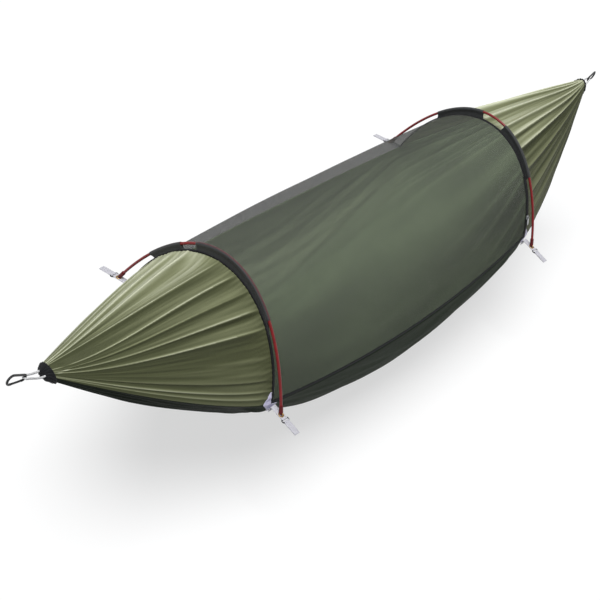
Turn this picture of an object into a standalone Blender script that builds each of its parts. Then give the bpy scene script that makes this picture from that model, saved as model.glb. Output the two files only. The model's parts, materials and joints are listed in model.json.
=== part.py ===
"""Camping hammock with a pop-up mosquito net, as separate pieces.

The bed is one sheet of nylon gathered at both ends. Two bent poles hold a net over the middle of
it, and a half cone of lighter nylon closes the space between each pole and its gathered end.

Frame: X along the hammock, -Y the side with the zip, +Z up. The origin lies under the middle of
the hammock, at the height of the bed's lowest point. Sizes are in metres and degrees.
"""

import math

import bmesh
import bpy
import numpy as np
from mathutils import Matrix, Vector

# Clearances
SEAT_GAP = 0.0004  # between two pieces that touch
EDGE_GAP = 0.0008  # between two cloth edges sewn together
POLE_PLAY = 0.0006  # round the pole inside its sleeves and tips

# The bed, measured from the straight line between the two gathered ends
HALF_LENGTH = 1.300  # middle of the bed to a gathered end
BED_DEPTH = 0.600  # lowest point of the bed under the line
BED_LONG_POWER = 1.50  # shape of the long curve of the bottom, 1 is a V and 2 a parabola
BED_KEEL = 0.08  # share of the half length over which the V is rounded
BED_CROSS_POWER = 0.58  # shape of the cross section, under 1 is fuller than an ellipse
EDGE_HALF_WIDTH = 0.298  # bed edge at the middle
EDGE_DROP = 0.274
GATHER_RADIUS = 0.020
CLOTH = 0.0020
BED_FOLD = 0.009  # height of the folds that run in from the gathered ends
BED_FOLDS = 6
BED_FOLD_START = 0.42  # share of the half length where the folds begin

# The seam over each hoop, where the net and the end canopy meet
HOOP_X = 0.667
SEAM_HALF_WIDTH = 0.266
SEAM_DROP = 0.242
SEAM_RISE = 0.034
SEAM_ANGLE = 72.0  # half of the angle of the circle that is stretched to the seam's arch
TAPER_WIDTH = 1.20  # powers of the canopy's lines from the hoop to the gathered end
TAPER_DROP = 1.25
TAPER_RISE = 1.30
CANOPY_FOLD = 0.008
CANOPY_FOLDS = 8
FOLD_END = 0.94  # share of the canopy's length where the folds have closed up

# The net
NET_SAG = 0.004
NET_CLOTH = 0.0012

# Binding tape along the seam over each hoop
BINDING_WIDTH = 0.006
BINDING_DEPTH = 0.003

# Hoop poles, their tips and the sleeves that hold them
POLE_RADIUS = 0.004
POLE_HALF_WIDTH = 0.298
POLE_RISE = 0.060
POLE_DROP = 0.238
POLE_ANGLE = 46.4
SLEEVE_WALL = 0.0012
SLEEVE_FLAP = 0.0020
# Each sleeve's stretch of the pole, from -1 at the front foot to 1 at the back foot
SLEEVES = {
    "sleeve_left_front": (-1, -0.510, 0.330),
    "sleeve_left_back": (-1, 0.470, 0.735),
    "sleeve_right_front": (1, -0.580, -0.110),
    "sleeve_right_back": (1, 0.150, 0.590),
}
TIP_SOCKET = 0.014
TIP_WALL = 0.0012
TIP_STEM_RADIUS = 0.0022
TIP_STEM = 0.011

# Straps at the pole feet
STRAP_TILT = 12.0  # degrees down from the bed's edge outwards
STRAP_WIDTH = 0.020
STRAP_THICK = 0.0020
STRAP_FLAP = 0.020  # stitched down against the patch
STRAP_PAST_GROMMET = 0.014  # from the grommet's centre to the ring's bar
STRAP_ELBOW = 0.0002  # the bend's height over the arm
PATCH_THICK = 0.0010
PATCH_LIFT = 0.0008  # over the lines of the cloth, for its rounding
PATCH_REACH = 0.030
PATCH_FALL = 0.026
PATCH_CLIMB = 0.038
PATCH_POINT = 0.0015  # half width of its blunt points
PATCH_OVER = 0.0040  # from the edge to the first line on the canopy
GROMMET_BORE = 0.0052
GROMMET_FLANGE = 0.0085
GROMMET_LIP = 0.0008
RING_WIRE = 0.0014
RING_HALF_WIDTH = 0.0125
RING_STEP = 0.0080  # between the ring's two long bars
RING_CORNER = 0.0022
EYE_WALL = 0.0013
TAB_LENGTH = 0.044
TAB_THICK = 0.0030

# Zip along the front edge of the net and up the right hoop
ZIP_WIDTH = 0.010
ZIP_TAPE = 0.0012
ZIP_BEAD_WIDTH = 0.0036
ZIP_BEAD = 0.0012
RISER_START = 0.950  # share of the half arch, measured from the top
RISER_END = 0.520
TRACK_END = 0.040  # left free at both ends of the riser
SLIDER_AT = 0.830
SLIDER_LENGTH = 0.013
SLIDER_WIDTH = 0.010
SLIDER_HEIGHT = 0.0040
BRIDGE_WIRE = 0.0016
BRIDGE_HOLE = 0.0024
PULL_THICK = 0.0014
PULL_LENGTH = 0.026
PULL_WIDTH = 0.0085

# Gathered ends: black hem, cord loop and carabiner
HEM_LENGTH = 0.030
HEM_WALL = 0.0028
HEM_PLUG = 0.0110
HEM_PLEAT = 0.0009
HEM_PLEATS = 14
CORD_RADIUS = 0.0027
CORD_SPREAD = 0.0095
CORD_SOCKET = 0.0075
SOCKET_MOUTH = 0.0020  # the cutter's stretch past the hem's face
# Each loop's length, and how far it and its carabiner point up and to the front, in degrees
HANGS = {"left": (-1, 0.0590, 20.0, 0.0), "right": (1, 0.0552, 0.0, -6.0)}
BINER_WIRE = 0.0030
BINER_NARROW = 0.0080
BINER_WIDE = 0.0130
BINER_SPAN = 0.0400
GATE_RADIUS = 0.0026
GATE_HINGE_AT = 0.0072
GATE_LENGTH = 0.0290
GATE_HEEL = 0.0027
TONGUE_THICK = 0.0018
TONGUE_PLAY = 0.0004
TONGUE_PAST_PIN = 0.0024
SHOULDER_GAP = 0.0044
NOSE_GAP = 0.0008
NOSE_BITE = 0.0028
FORK_DEPTH = 0.0046
PIN_RADIUS = 0.0010
PIN_PLAY = 0.0001

# How finely the surfaces are cut
CANOPY_STATIONS = 8
NET_STATIONS = 9
BED_COLUMNS = 24
CANOPY_COLUMNS = 40
NET_COLUMNS = 24
POLE_POINTS = 41
SLEEVE_SECTIONS = 25  # of a sleeve on half of the pole
BINDING_POINTS = 33
ROUND_STEPS = 14
EYE_STEPS = 16


# An empty scene, and helpers that make the pieces' meshes

for stale in list(bpy.data.objects):
    bpy.data.objects.remove(stale, do_unlink=True)

parts = bpy.data.collections.new("hammock")
cutters = bpy.data.collections.new("cutters")
bpy.context.scene.collection.children.link(parts)
bpy.context.scene.collection.children.link(cutters)


def finish(name, colour, roughness, metallic=0.0):
    """A Principled material from a linear colour."""
    material = bpy.data.materials.new(name)
    material.use_nodes = True
    shader = material.node_tree.nodes["Principled BSDF"]
    shader.inputs["Base Color"].default_value = (*colour, 1.0)
    shader.inputs["Roughness"].default_value = roughness
    shader.inputs["Metallic"].default_value = metallic
    return material


bed_nylon = finish("bed_nylon", (0.030, 0.041, 0.026), 0.6)
canopy_nylon = finish("canopy_nylon", (0.165, 0.178, 0.098), 0.5)
net_mesh = finish("net_mesh", (0.060, 0.060, 0.062), 0.9)
black_tape = finish("black_tape", (0.016, 0.016, 0.018), 0.8)
red_pole = finish("red_pole", (0.230, 0.004, 0.006), 0.3, 0.4)
pole_metal = finish("pole_metal", (0.450, 0.450, 0.460), 0.35, 1.0)
white_webbing = finish("white_webbing", (0.560, 0.550, 0.600), 0.8)
brass = finish("brass", (0.620, 0.420, 0.130), 0.35, 1.0)
black_metal = finish("black_metal", (0.012, 0.012, 0.013), 0.4, 0.6)
white_cord = finish("white_cord", (0.620, 0.620, 0.620), 0.8)


def place(name, data, material, parent=None):
    """Puts a mesh or a curve into the model under its name."""
    data.name = name
    data.materials.append(material)
    made = bpy.data.objects.new(name, data)
    parts.objects.link(made)
    made.parent = parent
    return made


def mesh_from(points, faces):
    mesh = bpy.data.meshes.new("mesh")
    mesh.from_pydata([tuple(p) for p in np.asarray(points, float)], [], faces)
    mesh.update()
    mesh.shade_smooth()
    return mesh


def shell(name, outer, inner, material):
    """A closed cloth between two equal grids of points, with a rim all round."""
    rows, columns = outer.shape[:2]
    count = rows * columns
    faces = []
    for i in range(rows - 1):
        for j in range(columns - 1):
            a = i * columns + j
            quad = (a, a + 1, a + columns + 1, a + columns)
            faces.append(quad)
            faces.append(tuple(k + count for k in quad[::-1]))
    first_row, last_row = range(columns), range(count - columns, count)
    left, right = range(0, count, columns), range(columns - 1, count, columns)
    for rim in (first_row, last_row, left, right):
        for a, b in zip(rim[:-1], rim[1:]):
            faces.append((a, b, b + count, a + count))
    points = np.concatenate([outer.reshape(-1, 3), inner.reshape(-1, 3)])
    return place(name, facing_out(mesh_from(points, faces)), material)


def loft(rings):
    """A closed mesh through equal closed rings, with a flat cap at each end."""
    count, around = rings.shape[:2]
    faces = [tuple(range(around))[::-1]]
    for i in range(count - 1):
        for j in range(around):
            a, b = i * around + j, i * around + (j + 1) % around
            faces.append((a, b, b + around, a + around))
    last = (count - 1) * around
    faces.append(tuple(range(last, last + around)))
    return facing_out(mesh_from(rings.reshape(-1, 3), faces))


def facing_out(mesh):
    """Turns every face of a closed mesh outwards."""
    work = bmesh.new()
    work.from_mesh(mesh)
    bmesh.ops.recalc_face_normals(work, faces=work.faces)
    work.to_mesh(mesh)
    work.free()
    return mesh


def empty(name, matrix):
    """A frame for the pieces under it."""
    frame = bpy.data.objects.new(name, None)
    frame.matrix_world = matrix
    parts.objects.link(frame)
    return frame


def frame_of(origin, x_axis, y_axis, z_axis):
    turn = Matrix((x_axis, y_axis, z_axis)).transposed().to_4x4()
    return Matrix.Translation(Vector(origin)) @ turn


def tube(name, points, radius, material, parent=None, cyclic=False, resolution=2):
    """A round wire along points, as a poly curve with filled ends."""
    curve = bpy.data.curves.new(name, "CURVE")
    curve.dimensions = "3D"
    curve.bevel_depth = radius
    curve.bevel_resolution = resolution
    curve.use_fill_caps = not cyclic
    line = curve.splines.new("POLY")
    line.points.add(len(points) - 1)
    for point, co in zip(line.points, points):
        point.co = (*co, 1.0)
    line.use_cyclic_u = cyclic
    return place(name, curve, material, parent)


def flat_outline(name, outlines, half_thickness, material, parent=None):
    """Outlines in the XY plane, the first outside and the others holes, thickened along Z."""
    curve = bpy.data.curves.new(name, "CURVE")
    curve.dimensions = "2D"
    curve.fill_mode = "BOTH"
    curve.extrude = half_thickness
    for outline in outlines:
        line = curve.splines.new("POLY")
        line.points.add(len(outline) - 1)
        for point, (x, y) in zip(line.points, outline):
            point.co = (x, y, 0.0, 1.0)
        line.use_cyclic_u = True
    return place(name, curve, material, parent)


def as_mesh(made):
    """Turns a curve piece into a welded mesh piece of the same name and place."""
    bpy.context.view_layer.update()
    graph = bpy.context.evaluated_depsgraph_get()
    mesh = bpy.data.meshes.new_from_object(made.evaluated_get(graph))
    work = bmesh.new()
    work.from_mesh(mesh)
    bmesh.ops.remove_doubles(work, verts=work.verts, dist=1e-6)
    bmesh.ops.recalc_face_normals(work, faces=work.faces)
    work.to_mesh(mesh)
    work.free()
    name, parent, material = made.name, made.parent, made.data.materials[0]
    bpy.data.objects.remove(made, do_unlink=True)
    mesh.materials.clear()
    return place(name, mesh, material, parent)


def cut(made, cutter):
    """Takes a cutter out of a piece."""
    difference = made.modifiers.new("cut", "BOOLEAN")
    difference.operation = "DIFFERENCE"
    difference.solver = "EXACT"
    difference.object = cutter


def cutter_of(name, mesh, parent=None, matrix=None):
    cutter = bpy.data.objects.new(name, mesh)
    cutters.objects.link(cutter)
    cutter.parent = parent
    if matrix is not None:
        cutter.matrix_local = matrix
    cutter.hide_render = True
    cutter.display_type = "WIRE"
    return cutter


def rod_mesh(radius, length, steps=ROUND_STEPS, along="Z"):
    """A cylinder centred on the origin."""
    mesh = bpy.data.meshes.new("rod")
    work = bmesh.new()
    turn = {
        "Z": Matrix.Identity(4),
        "X": Matrix.Rotation(math.pi / 2, 4, "Y"),
        "Y": Matrix.Rotation(math.pi / 2, 4, "X"),
    }[along]
    bmesh.ops.create_cone(
        work,
        cap_ends=True,
        segments=steps,
        radius1=radius,
        radius2=radius,
        depth=length,
        matrix=turn,
    )
    work.to_mesh(mesh)
    work.free()
    return mesh


def box_mesh(low, high):
    mesh = bpy.data.meshes.new("box")
    work = bmesh.new()
    low, high = Vector(low), Vector(high)
    scale = Matrix.Diagonal((*(high - low), 1.0))
    bmesh.ops.create_cube(work, size=1.0, matrix=Matrix.Translation((low + high) / 2) @ scale)
    work.to_mesh(mesh)
    work.free()
    return mesh


def turned(name, profile, material, parent, steps=ROUND_STEPS):
    """A closed outline of (radius, height) points turned about the local Z axis."""
    mesh = bpy.data.meshes.new(name)
    points = [(r, 0.0, z) for r, z in profile]
    edges = [(i, (i + 1) % len(points)) for i in range(len(points))]
    mesh.from_pydata(points, edges, [])
    made = place(name, mesh, material, parent)
    screw = made.modifiers.new("turn", "SCREW")
    screw.steps = screw.render_steps = steps
    screw.use_merge_vertices = True
    screw.merge_threshold = 0.0001
    return made


# The lines of the hammock: each runs along X


def past_hoop(x):
    """0 at the hoop and 1 at the gathered end."""
    return np.clip((np.abs(x) - HOOP_X) / (HALF_LENGTH - HOOP_X), 0.0, 1.0)


def to_hoop(x):
    """0 at the middle and 1 at the hoop."""
    return np.clip(np.abs(x) / HOOP_X, 0.0, 1.0)


def edge_half_width(x):
    inside = EDGE_HALF_WIDTH + (SEAM_HALF_WIDTH - EDGE_HALF_WIDTH) * to_hoop(x) ** 2
    taper = 1.0 - past_hoop(x) ** TAPER_WIDTH
    outside = GATHER_RADIUS + (SEAM_HALF_WIDTH - GATHER_RADIUS) * taper
    return np.where(np.abs(x) <= HOOP_X, inside, outside)


def edge_height(x):
    inside = EDGE_DROP + (SEAM_DROP - EDGE_DROP) * to_hoop(x) ** 2
    outside = SEAM_DROP * (1.0 - past_hoop(x) ** TAPER_DROP)
    return BED_DEPTH - np.where(np.abs(x) <= HOOP_X, inside, outside)


def bed_bottom(x):
    away = np.clip(np.abs(x) / HALF_LENGTH, 0.0, 1.0)
    rounded = np.hypot(away, BED_KEEL) ** BED_LONG_POWER - BED_KEEL**BED_LONG_POWER
    full = math.hypot(1.0, BED_KEEL) ** BED_LONG_POWER - BED_KEEL**BED_LONG_POWER
    return (BED_DEPTH - GATHER_RADIUS) * rounded / full


def arch_top(x):
    inside = SEAM_RISE - NET_SAG * (1.0 - to_hoop(x) ** 2)
    taper = 1.0 - past_hoop(x) ** TAPER_RISE
    outside = GATHER_RADIUS + (SEAM_RISE - GATHER_RADIUS) * taper
    return BED_DEPTH + np.where(np.abs(x) <= HOOP_X, inside, outside)


# The surfaces: outer faces, as functions of x and a second parameter


def bed_point(x, angle):
    """Bed at x; the angle goes from -pi/2 at the front edge through 0 below to pi/2."""
    x, angle = np.broadcast_arrays(np.asarray(x, float), np.asarray(angle, float))
    y = edge_half_width(x) * np.sign(angle) * np.abs(np.sin(angle)) ** BED_CROSS_POWER
    top, bottom = edge_height(x), bed_bottom(x)
    z = top + (bottom - top) * np.abs(np.cos(angle))
    return np.stack([x, y, z], -1)


def arch_point(x, s):
    """Net or canopy at x; s goes from -1 at the front edge through 0 on top to 1."""
    x, s = np.broadcast_arrays(np.asarray(x, float), np.asarray(s, float))
    half = math.radians(SEAM_ANGLE)
    y = edge_half_width(x) * np.sin(s * half) / math.sin(half)
    top, foot = arch_top(x), edge_height(x)
    z = top - (top - foot) * (1.0 - np.cos(s * half)) / (1.0 - math.cos(half))
    return np.stack([x, y, z], -1)


def outwards(surface, x, b, limit, distance):
    """Points of a surface moved out along its normal."""
    step = 1e-4
    x, b = np.broadcast_arrays(np.asarray(x, float), np.asarray(b, float))
    point = surface(x, b)
    along = surface(x + step, b) - surface(x - step, b)
    upper, lower = np.minimum(b + step, limit), np.maximum(b - step, -limit)
    across = surface(x, upper) - surface(x, lower)
    normal = np.cross(along, across)
    normal /= np.linalg.norm(normal, axis=-1, keepdims=True)
    centre = np.stack([x, np.zeros_like(x), edge_height(x)], -1)
    side = np.sign(np.sum(normal * (point - centre), -1, keepdims=True))
    return point + normal * side * distance


def fold_out(points, amount):
    """Moves points of one section away from the section's middle."""
    x = points[..., 0]
    centre = np.stack([x, np.zeros_like(x), edge_height(x)], -1)
    ray = points - centre
    return points + ray / np.linalg.norm(ray, axis=-1, keepdims=True) * amount[..., None]


def inwards(sections, level):
    """Unit vectors that point into each section, level at the columns named."""
    along = np.gradient(sections, axis=1)
    inward = np.stack([np.zeros(along.shape[:2]), along[..., 2], -along[..., 1]], -1)
    inward[:, level, 2] = 0.0
    inward /= np.linalg.norm(inward, axis=-1, keepdims=True)
    x = sections[..., 0]
    centre = np.stack([x, np.zeros_like(x), edge_height(x)], -1)
    return inward * np.sign(np.sum(inward * (centre - sections), -1, keepdims=True))


def stations_past_hoop():
    """Sections from the binding to the gathered end, closer near the end."""
    share = np.linspace(0.0, 1.0, CANOPY_STATIONS) ** 0.9
    first = HOOP_X + BINDING_WIDTH / 2 + SEAT_GAP
    return first + (HALF_LENGTH - first) * share


def stations_of_net():
    last = HOOP_X - BINDING_WIDTH / 2 - SEAT_GAP
    return np.linspace(-last, last, NET_STATIONS)


# Bed: dark green nylon from one gathered end to the other

bed_x = np.concatenate([-stations_past_hoop()[::-1], stations_of_net(), stations_past_hoop()])
bed_angle = np.linspace(-math.pi / 2, math.pi / 2, BED_COLUMNS + 1)
bed_grid = bed_point(bed_x[:, None], bed_angle[None, :])
start = BED_FOLD_START * HALF_LENGTH
reach = np.clip((np.abs(bed_x) - start) / (FOLD_END * HALF_LENGTH - start), 0.0, 1.0)
swell = np.sin(math.pi * reach)[:, None] * np.cos(bed_angle)[None, :] ** 0.5
wave = np.cos(2 * BED_FOLDS * bed_angle)[None, :]
bed_in = inwards(bed_grid, [0, -1])
bed_grid = fold_out(bed_grid, BED_FOLD * swell * 0.5 * (wave - 1.0))
shell("bed", bed_grid, bed_grid + bed_in * CLOTH, bed_nylon)


# End canopies: light nylon half cones with folds from the gathered end to the hoop

for side, name in ((-1, "canopy_left"), (1, "canopy_right")):
    x = side * stations_past_hoop()
    s = np.linspace(-1.0, 1.0, CANOPY_COLUMNS + 1)
    grid = arch_point(x[:, None], s[None, :])
    reach = np.clip(past_hoop(x) / FOLD_END, 0.0, 1.0)
    swell = np.sin(math.pi * reach)[:, None] ** 0.7 * (1.0 - np.abs(s) ** 8)[None, :]
    wave = np.cos(CANOPY_FOLDS * math.pi * (s + 1.0))[None, :]
    inner_way = inwards(grid, [0, -1])
    grid = fold_out(grid, CANOPY_FOLD * swell * 0.5 * (wave - 1.0))
    grid[:, [0, -1], 2] += EDGE_GAP
    shell(name, grid, grid + inner_way * CLOTH, canopy_nylon)


# Mosquito net over the middle


def arch_metres(x):
    """Length of the arch for one unit of s at its foot."""
    step = 1e-4
    return np.linalg.norm(arch_point(x, 1.0) - arch_point(x, 1.0 - step), axis=-1) / step


net_x = stations_of_net()
net_s = np.linspace(0.0, 1.0, NET_COLUMNS + 1)[None, :]
front = (ZIP_WIDTH + EDGE_GAP + SEAT_GAP) / arch_metres(net_x)[:, None]
back = EDGE_GAP / arch_metres(net_x)[:, None]
net_s = -1.0 + front + (2.0 - front - back) * net_s
net_grid = arch_point(net_x[:, None], net_s)
net_in = inwards(net_grid, [-1])
shell("mosquito_net", net_grid, net_grid + net_in * NET_CLOTH, net_mesh)


# Binding tapes along the two hoop seams


def strip(point, out, half_width, low, high):
    """A four-cornered section at a point: half_width along X and low to high along out."""
    corners = [(-half_width, low), (half_width, low), (half_width, high), (-half_width, high)]
    return [point + np.array([u, 0.0, 0.0]) + v * out for u, v in corners]


def arch_out(s, x):
    """Outward direction of the arch in the plane across the hammock."""
    moved = outwards(arch_point, x, s, 1.0, 1.0) - arch_point(x, s)
    moved[..., 0] = 0.0
    return moved / np.linalg.norm(moved, axis=-1, keepdims=True)


for side, name in ((-1, "binding_left"), (1, "binding_right")):
    trim = (EDGE_GAP + 0.5 * BINDING_DEPTH) / float(arch_metres(HOOP_X))
    s = np.linspace(-1.0 + trim, 1.0 - trim, BINDING_POINTS)
    x = np.full(BINDING_POINTS, side * HOOP_X)
    point, out = arch_point(x, s), arch_out(s, x)
    half = BINDING_WIDTH / 2
    sunk = -SEAT_GAP
    rings = np.array([strip(p, n, half, sunk - BINDING_DEPTH, sunk) for p, n in zip(point, out)])
    place(name, loft(rings), black_tape)


# Hoop poles


def pole_point(s):
    """Centre line of a pole in the YZ plane; s goes from -1 to 1, front foot to back foot."""
    half = math.radians(POLE_ANGLE)
    s = np.asarray(s, float)
    y = POLE_HALF_WIDTH * np.sin(s * half) / math.sin(half)
    share = (1.0 - np.cos(s * half)) / (1.0 - math.cos(half))
    z = BED_DEPTH + POLE_RISE - (POLE_RISE + POLE_DROP) * share
    return np.stack([y, z], -1)


def pole_along(s):
    step = 1e-4
    way = pole_point(s + step) - pole_point(s - step)
    return way / np.linalg.norm(way, axis=-1, keepdims=True)


for side, name in ((-1, "pole_left"), (1, "pole_right")):
    route = pole_point(np.linspace(-1.0, 1.0, POLE_POINTS))
    tube(name, [(side * HOOP_X, y, z) for y, z in route], POLE_RADIUS, red_pole)


# Pole sleeves: a round channel on the pole and a flat flap down to the seam


def flap_length(point, inward):
    """Distance from the pole's centre line to the hoop seam along the inward direction."""
    seam = arch_point(HOOP_X, np.linspace(-1.0, 1.0, 2001))[:, 1:]
    ray = seam - point
    along = ray @ inward
    aside = np.abs(ray[:, 0] * inward[1] - ray[:, 1] * inward[0])
    return along[np.argmin(np.where(along > 0, aside, 1.0))]


def sleeve_rings(s, x):
    """Outer and inner loop of the sleeve's section: a circle with a flap towards the seam."""
    centre = pole_point(s)
    way = pole_along(s)
    inward = np.array([way[1], -way[0]])
    if inward[1] > 0:
        inward = -inward
    reach = flap_length(centre, inward)
    inner = POLE_RADIUS + POLE_PLAY
    outer = inner + SLEEVE_WALL
    root = math.asin(SLEEVE_FLAP / 2 / outer)
    turns = np.linspace(root, 2 * math.pi - root, 10)
    loop = [(outer * math.cos(t), outer * math.sin(t)) for t in turns]
    loop = [(reach, SLEEVE_FLAP / 2), *loop, (reach, -SLEEVE_FLAP / 2)]
    turns = np.concatenate([[root / 2], turns, [2 * math.pi - root / 2]])
    hole = [(inner * math.cos(t), inner * math.sin(t)) for t in turns]
    rings = []
    for outline in (loop, hole):
        flat = np.array(outline)
        yz = centre + flat[:, :1] * inward
        rings.append(np.column_stack([x + flat[:, 1], yz]))
    return rings


def channel(outer, inner):
    """A closed mesh between outer and inner rings, open through the middle."""
    count, around = outer.shape[:2]
    offset = count * around
    faces = []
    for i in range(count - 1):
        for j in range(around):
            k = (j + 1) % around
            a, b = i * around + j, i * around + k
            faces.append((a, b, b + around, a + around))
            a, b = a + offset, b + offset
            faces.append((b, a, a + around, b + around))
    for row in (0, count - 1):
        for j in range(around):
            k = (j + 1) % around
            a, b = row * around + j, row * around + k
            faces.append((b, a, a + offset, b + offset))
    points = np.concatenate([outer.reshape(-1, 3), inner.reshape(-1, 3)])
    return facing_out(mesh_from(points, faces))


for name, (side, first, last) in SLEEVES.items():
    steps = math.ceil((last - first) * SLEEVE_SECTIONS) + 1
    pairs = [sleeve_rings(s, side * HOOP_X) for s in np.linspace(first, last, steps)]
    outer, inner = (np.array(rings) for rings in zip(*pairs))
    place(name, channel(outer, inner), black_tape)


# Strap frames: one at each foot of each hoop, local Y outwards along the strap, Z its face

TILT = math.radians(STRAP_TILT)
STRAP_SIDES = HOOP_X + STRAP_WIDTH / 2 * np.array([-1.0, 1.0])
STRAP_OUT = float(max(edge_half_width(STRAP_SIDES))) + PATCH_LIFT + PATCH_THICK + SEAT_GAP
STRAP_BEND = (STRAP_OUT + STRAP_THICK / 2, BED_DEPTH - SEAM_DROP - STRAP_THICK)  # arm starts


def grommet_distance():
    """Where the pole's end, run on straight, meets the strap's upper face."""
    foot, way = pole_point(1.0), pole_along(1.0)
    arm = np.array([math.cos(TILT), -math.sin(TILT)])
    face = np.array(STRAP_BEND) + np.array([math.sin(TILT), math.cos(TILT)]) * STRAP_THICK / 2
    reach, along = np.linalg.solve(np.column_stack([way, -arm]), face - foot)
    return float(along), float(reach)


GROMMET_AT, POLE_TO_STRAP = grommet_distance()
BAR_AT = GROMMET_AT + STRAP_PAST_GROMMET
EYE_INNER = RING_WIRE + SEAT_GAP
EYE_OUTER = EYE_INNER + EYE_WALL
CORNERS = {
    "front_left": (-1, -1),
    "back_left": (-1, 1),
    "front_right": (1, -1),
    "back_right": (1, 1),
}


def corner_frame(side, edge):
    """Frame on the strap's arm where it leaves the bed's edge."""
    across = (0.0, edge * math.cos(TILT), -math.sin(TILT))
    up = (0.0, edge * math.sin(TILT), math.cos(TILT))
    origin = (side * HOOP_X, edge * STRAP_BEND[0], STRAP_BEND[1])
    return frame_of(origin, (float(edge), 0.0, 0.0), across, up)


def arc(centre, radius, first, last, steps):
    """Points on a circle between two angles in degrees."""
    turns = np.radians(np.linspace(first, last, steps))
    return [(centre[0] + radius * math.cos(t), centre[1] + radius * math.sin(t)) for t in turns]


def patch_row(side, edge, kind, distance, first, last, lift):
    """One line of the patch along X, a distance under or over the bed's edge."""
    x = np.linspace(HOOP_X + first, HOOP_X + last, 5)
    if kind == "bed":
        depth = edge_height(x) - bed_bottom(x)
        angle = math.pi / 2 - np.arcsin(np.clip(distance / depth, 0.0, 1.0))
        row = outwards(bed_point, x, angle, math.pi / 2, lift)
    else:
        s = 1.0 - distance / arch_metres(x)
        row = outwards(arch_point, x, s, 1.0, lift)
    return row * np.array([side, edge, 1.0])


def patch_grid(side, edge, lift):
    """A triangle on the bed under the edge and one on the canopy over it."""
    outboard = BINDING_WIDTH / 2 + SEAT_GAP
    rows = [
        ("bed", PATCH_FALL, outboard, outboard + 2 * PATCH_POINT),
        ("bed", PATCH_FALL / 2, -PATCH_REACH / 3, PATCH_REACH * 0.55),
        ("bed", SEAT_GAP, -PATCH_REACH * 0.7, PATCH_REACH),
        ("canopy", PATCH_OVER, outboard, PATCH_REACH),
        ("canopy", PATCH_CLIMB / 2, outboard, PATCH_REACH * 0.62),
        ("canopy", PATCH_CLIMB, outboard, outboard + 2 * PATCH_POINT),
    ]
    return np.array([patch_row(side, edge, *row, lift) for row in rows])


def strap_outline():
    """Side view of a strap: stitched flap, arm and the eye round the ring's bar."""
    half = STRAP_THICK / 2
    drop = STRAP_FLAP
    tilt = STRAP_TILT
    lip = math.degrees(math.asin(half / EYE_OUTER))
    eye = arc((BAR_AT, 0.0), EYE_OUTER, 180.0 - lip, -180.0 + lip, EYE_STEPS)
    down = np.array([math.sin(TILT), -math.cos(TILT)])
    outer_face = np.array([half * math.cos(TILT), half * math.sin(TILT)])
    root = np.array([0.0, 0.0])
    elbow_top = root - outer_face + np.array([0.0, half + STRAP_ELBOW])
    elbow_low = root + outer_face + np.array([half * math.tan(TILT), -half])
    bottom_out = root + outer_face + down * drop
    bottom_in = root - outer_face + down * drop
    outline = [tuple(bottom_in), tuple(elbow_top), *eye, tuple(elbow_low), tuple(bottom_out)]
    return [outline, arc((BAR_AT, 0.0), EYE_INNER, 0.0, 360.0 - 360.0 / EYE_STEPS, EYE_STEPS)]


def tab_outline():
    """Side view of a tab: an eye round the ring's outer bar and two plies stitched flat."""
    half = TAB_THICK / 2
    lip = math.degrees(math.asin(half / EYE_OUTER))
    eye = arc((0.0, 0.0), EYE_OUTER, lip, 360.0 - lip, EYE_STEPS)
    end = arc((TAB_LENGTH - half, 0.0), half, -90.0, 90.0, 6)
    return [[*eye, *end], arc((0.0, 0.0), EYE_INNER, 0.0, 360.0 - 360.0 / EYE_STEPS, EYE_STEPS)]


def side_plane(frame, offset=0.0):
    """Frame whose XY plane is the strap's side view: X along local Y, Y along local Z."""
    turn = Matrix(((0, 0, 1), (1, 0, 0), (0, 1, 0))).to_4x4()
    return frame @ Matrix.Translation((0.0, offset, 0.0)) @ turn


def ring_route():
    """A rounded rectangle in the local XY plane, its first long bar on the X axis."""
    route = []
    right, far = RING_HALF_WIDTH - RING_CORNER, RING_STEP - RING_CORNER
    for cx, cy, first in (
        (right, far, 0.0),
        (-right, far, 90.0),
        (-right, RING_CORNER, 180.0),
        (right, RING_CORNER, 270.0),
    ):
        route += arc((cx, cy), RING_CORNER, first, first + 90.0, 4)
    return [(x, y, 0.0) for x, y in route]


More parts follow.
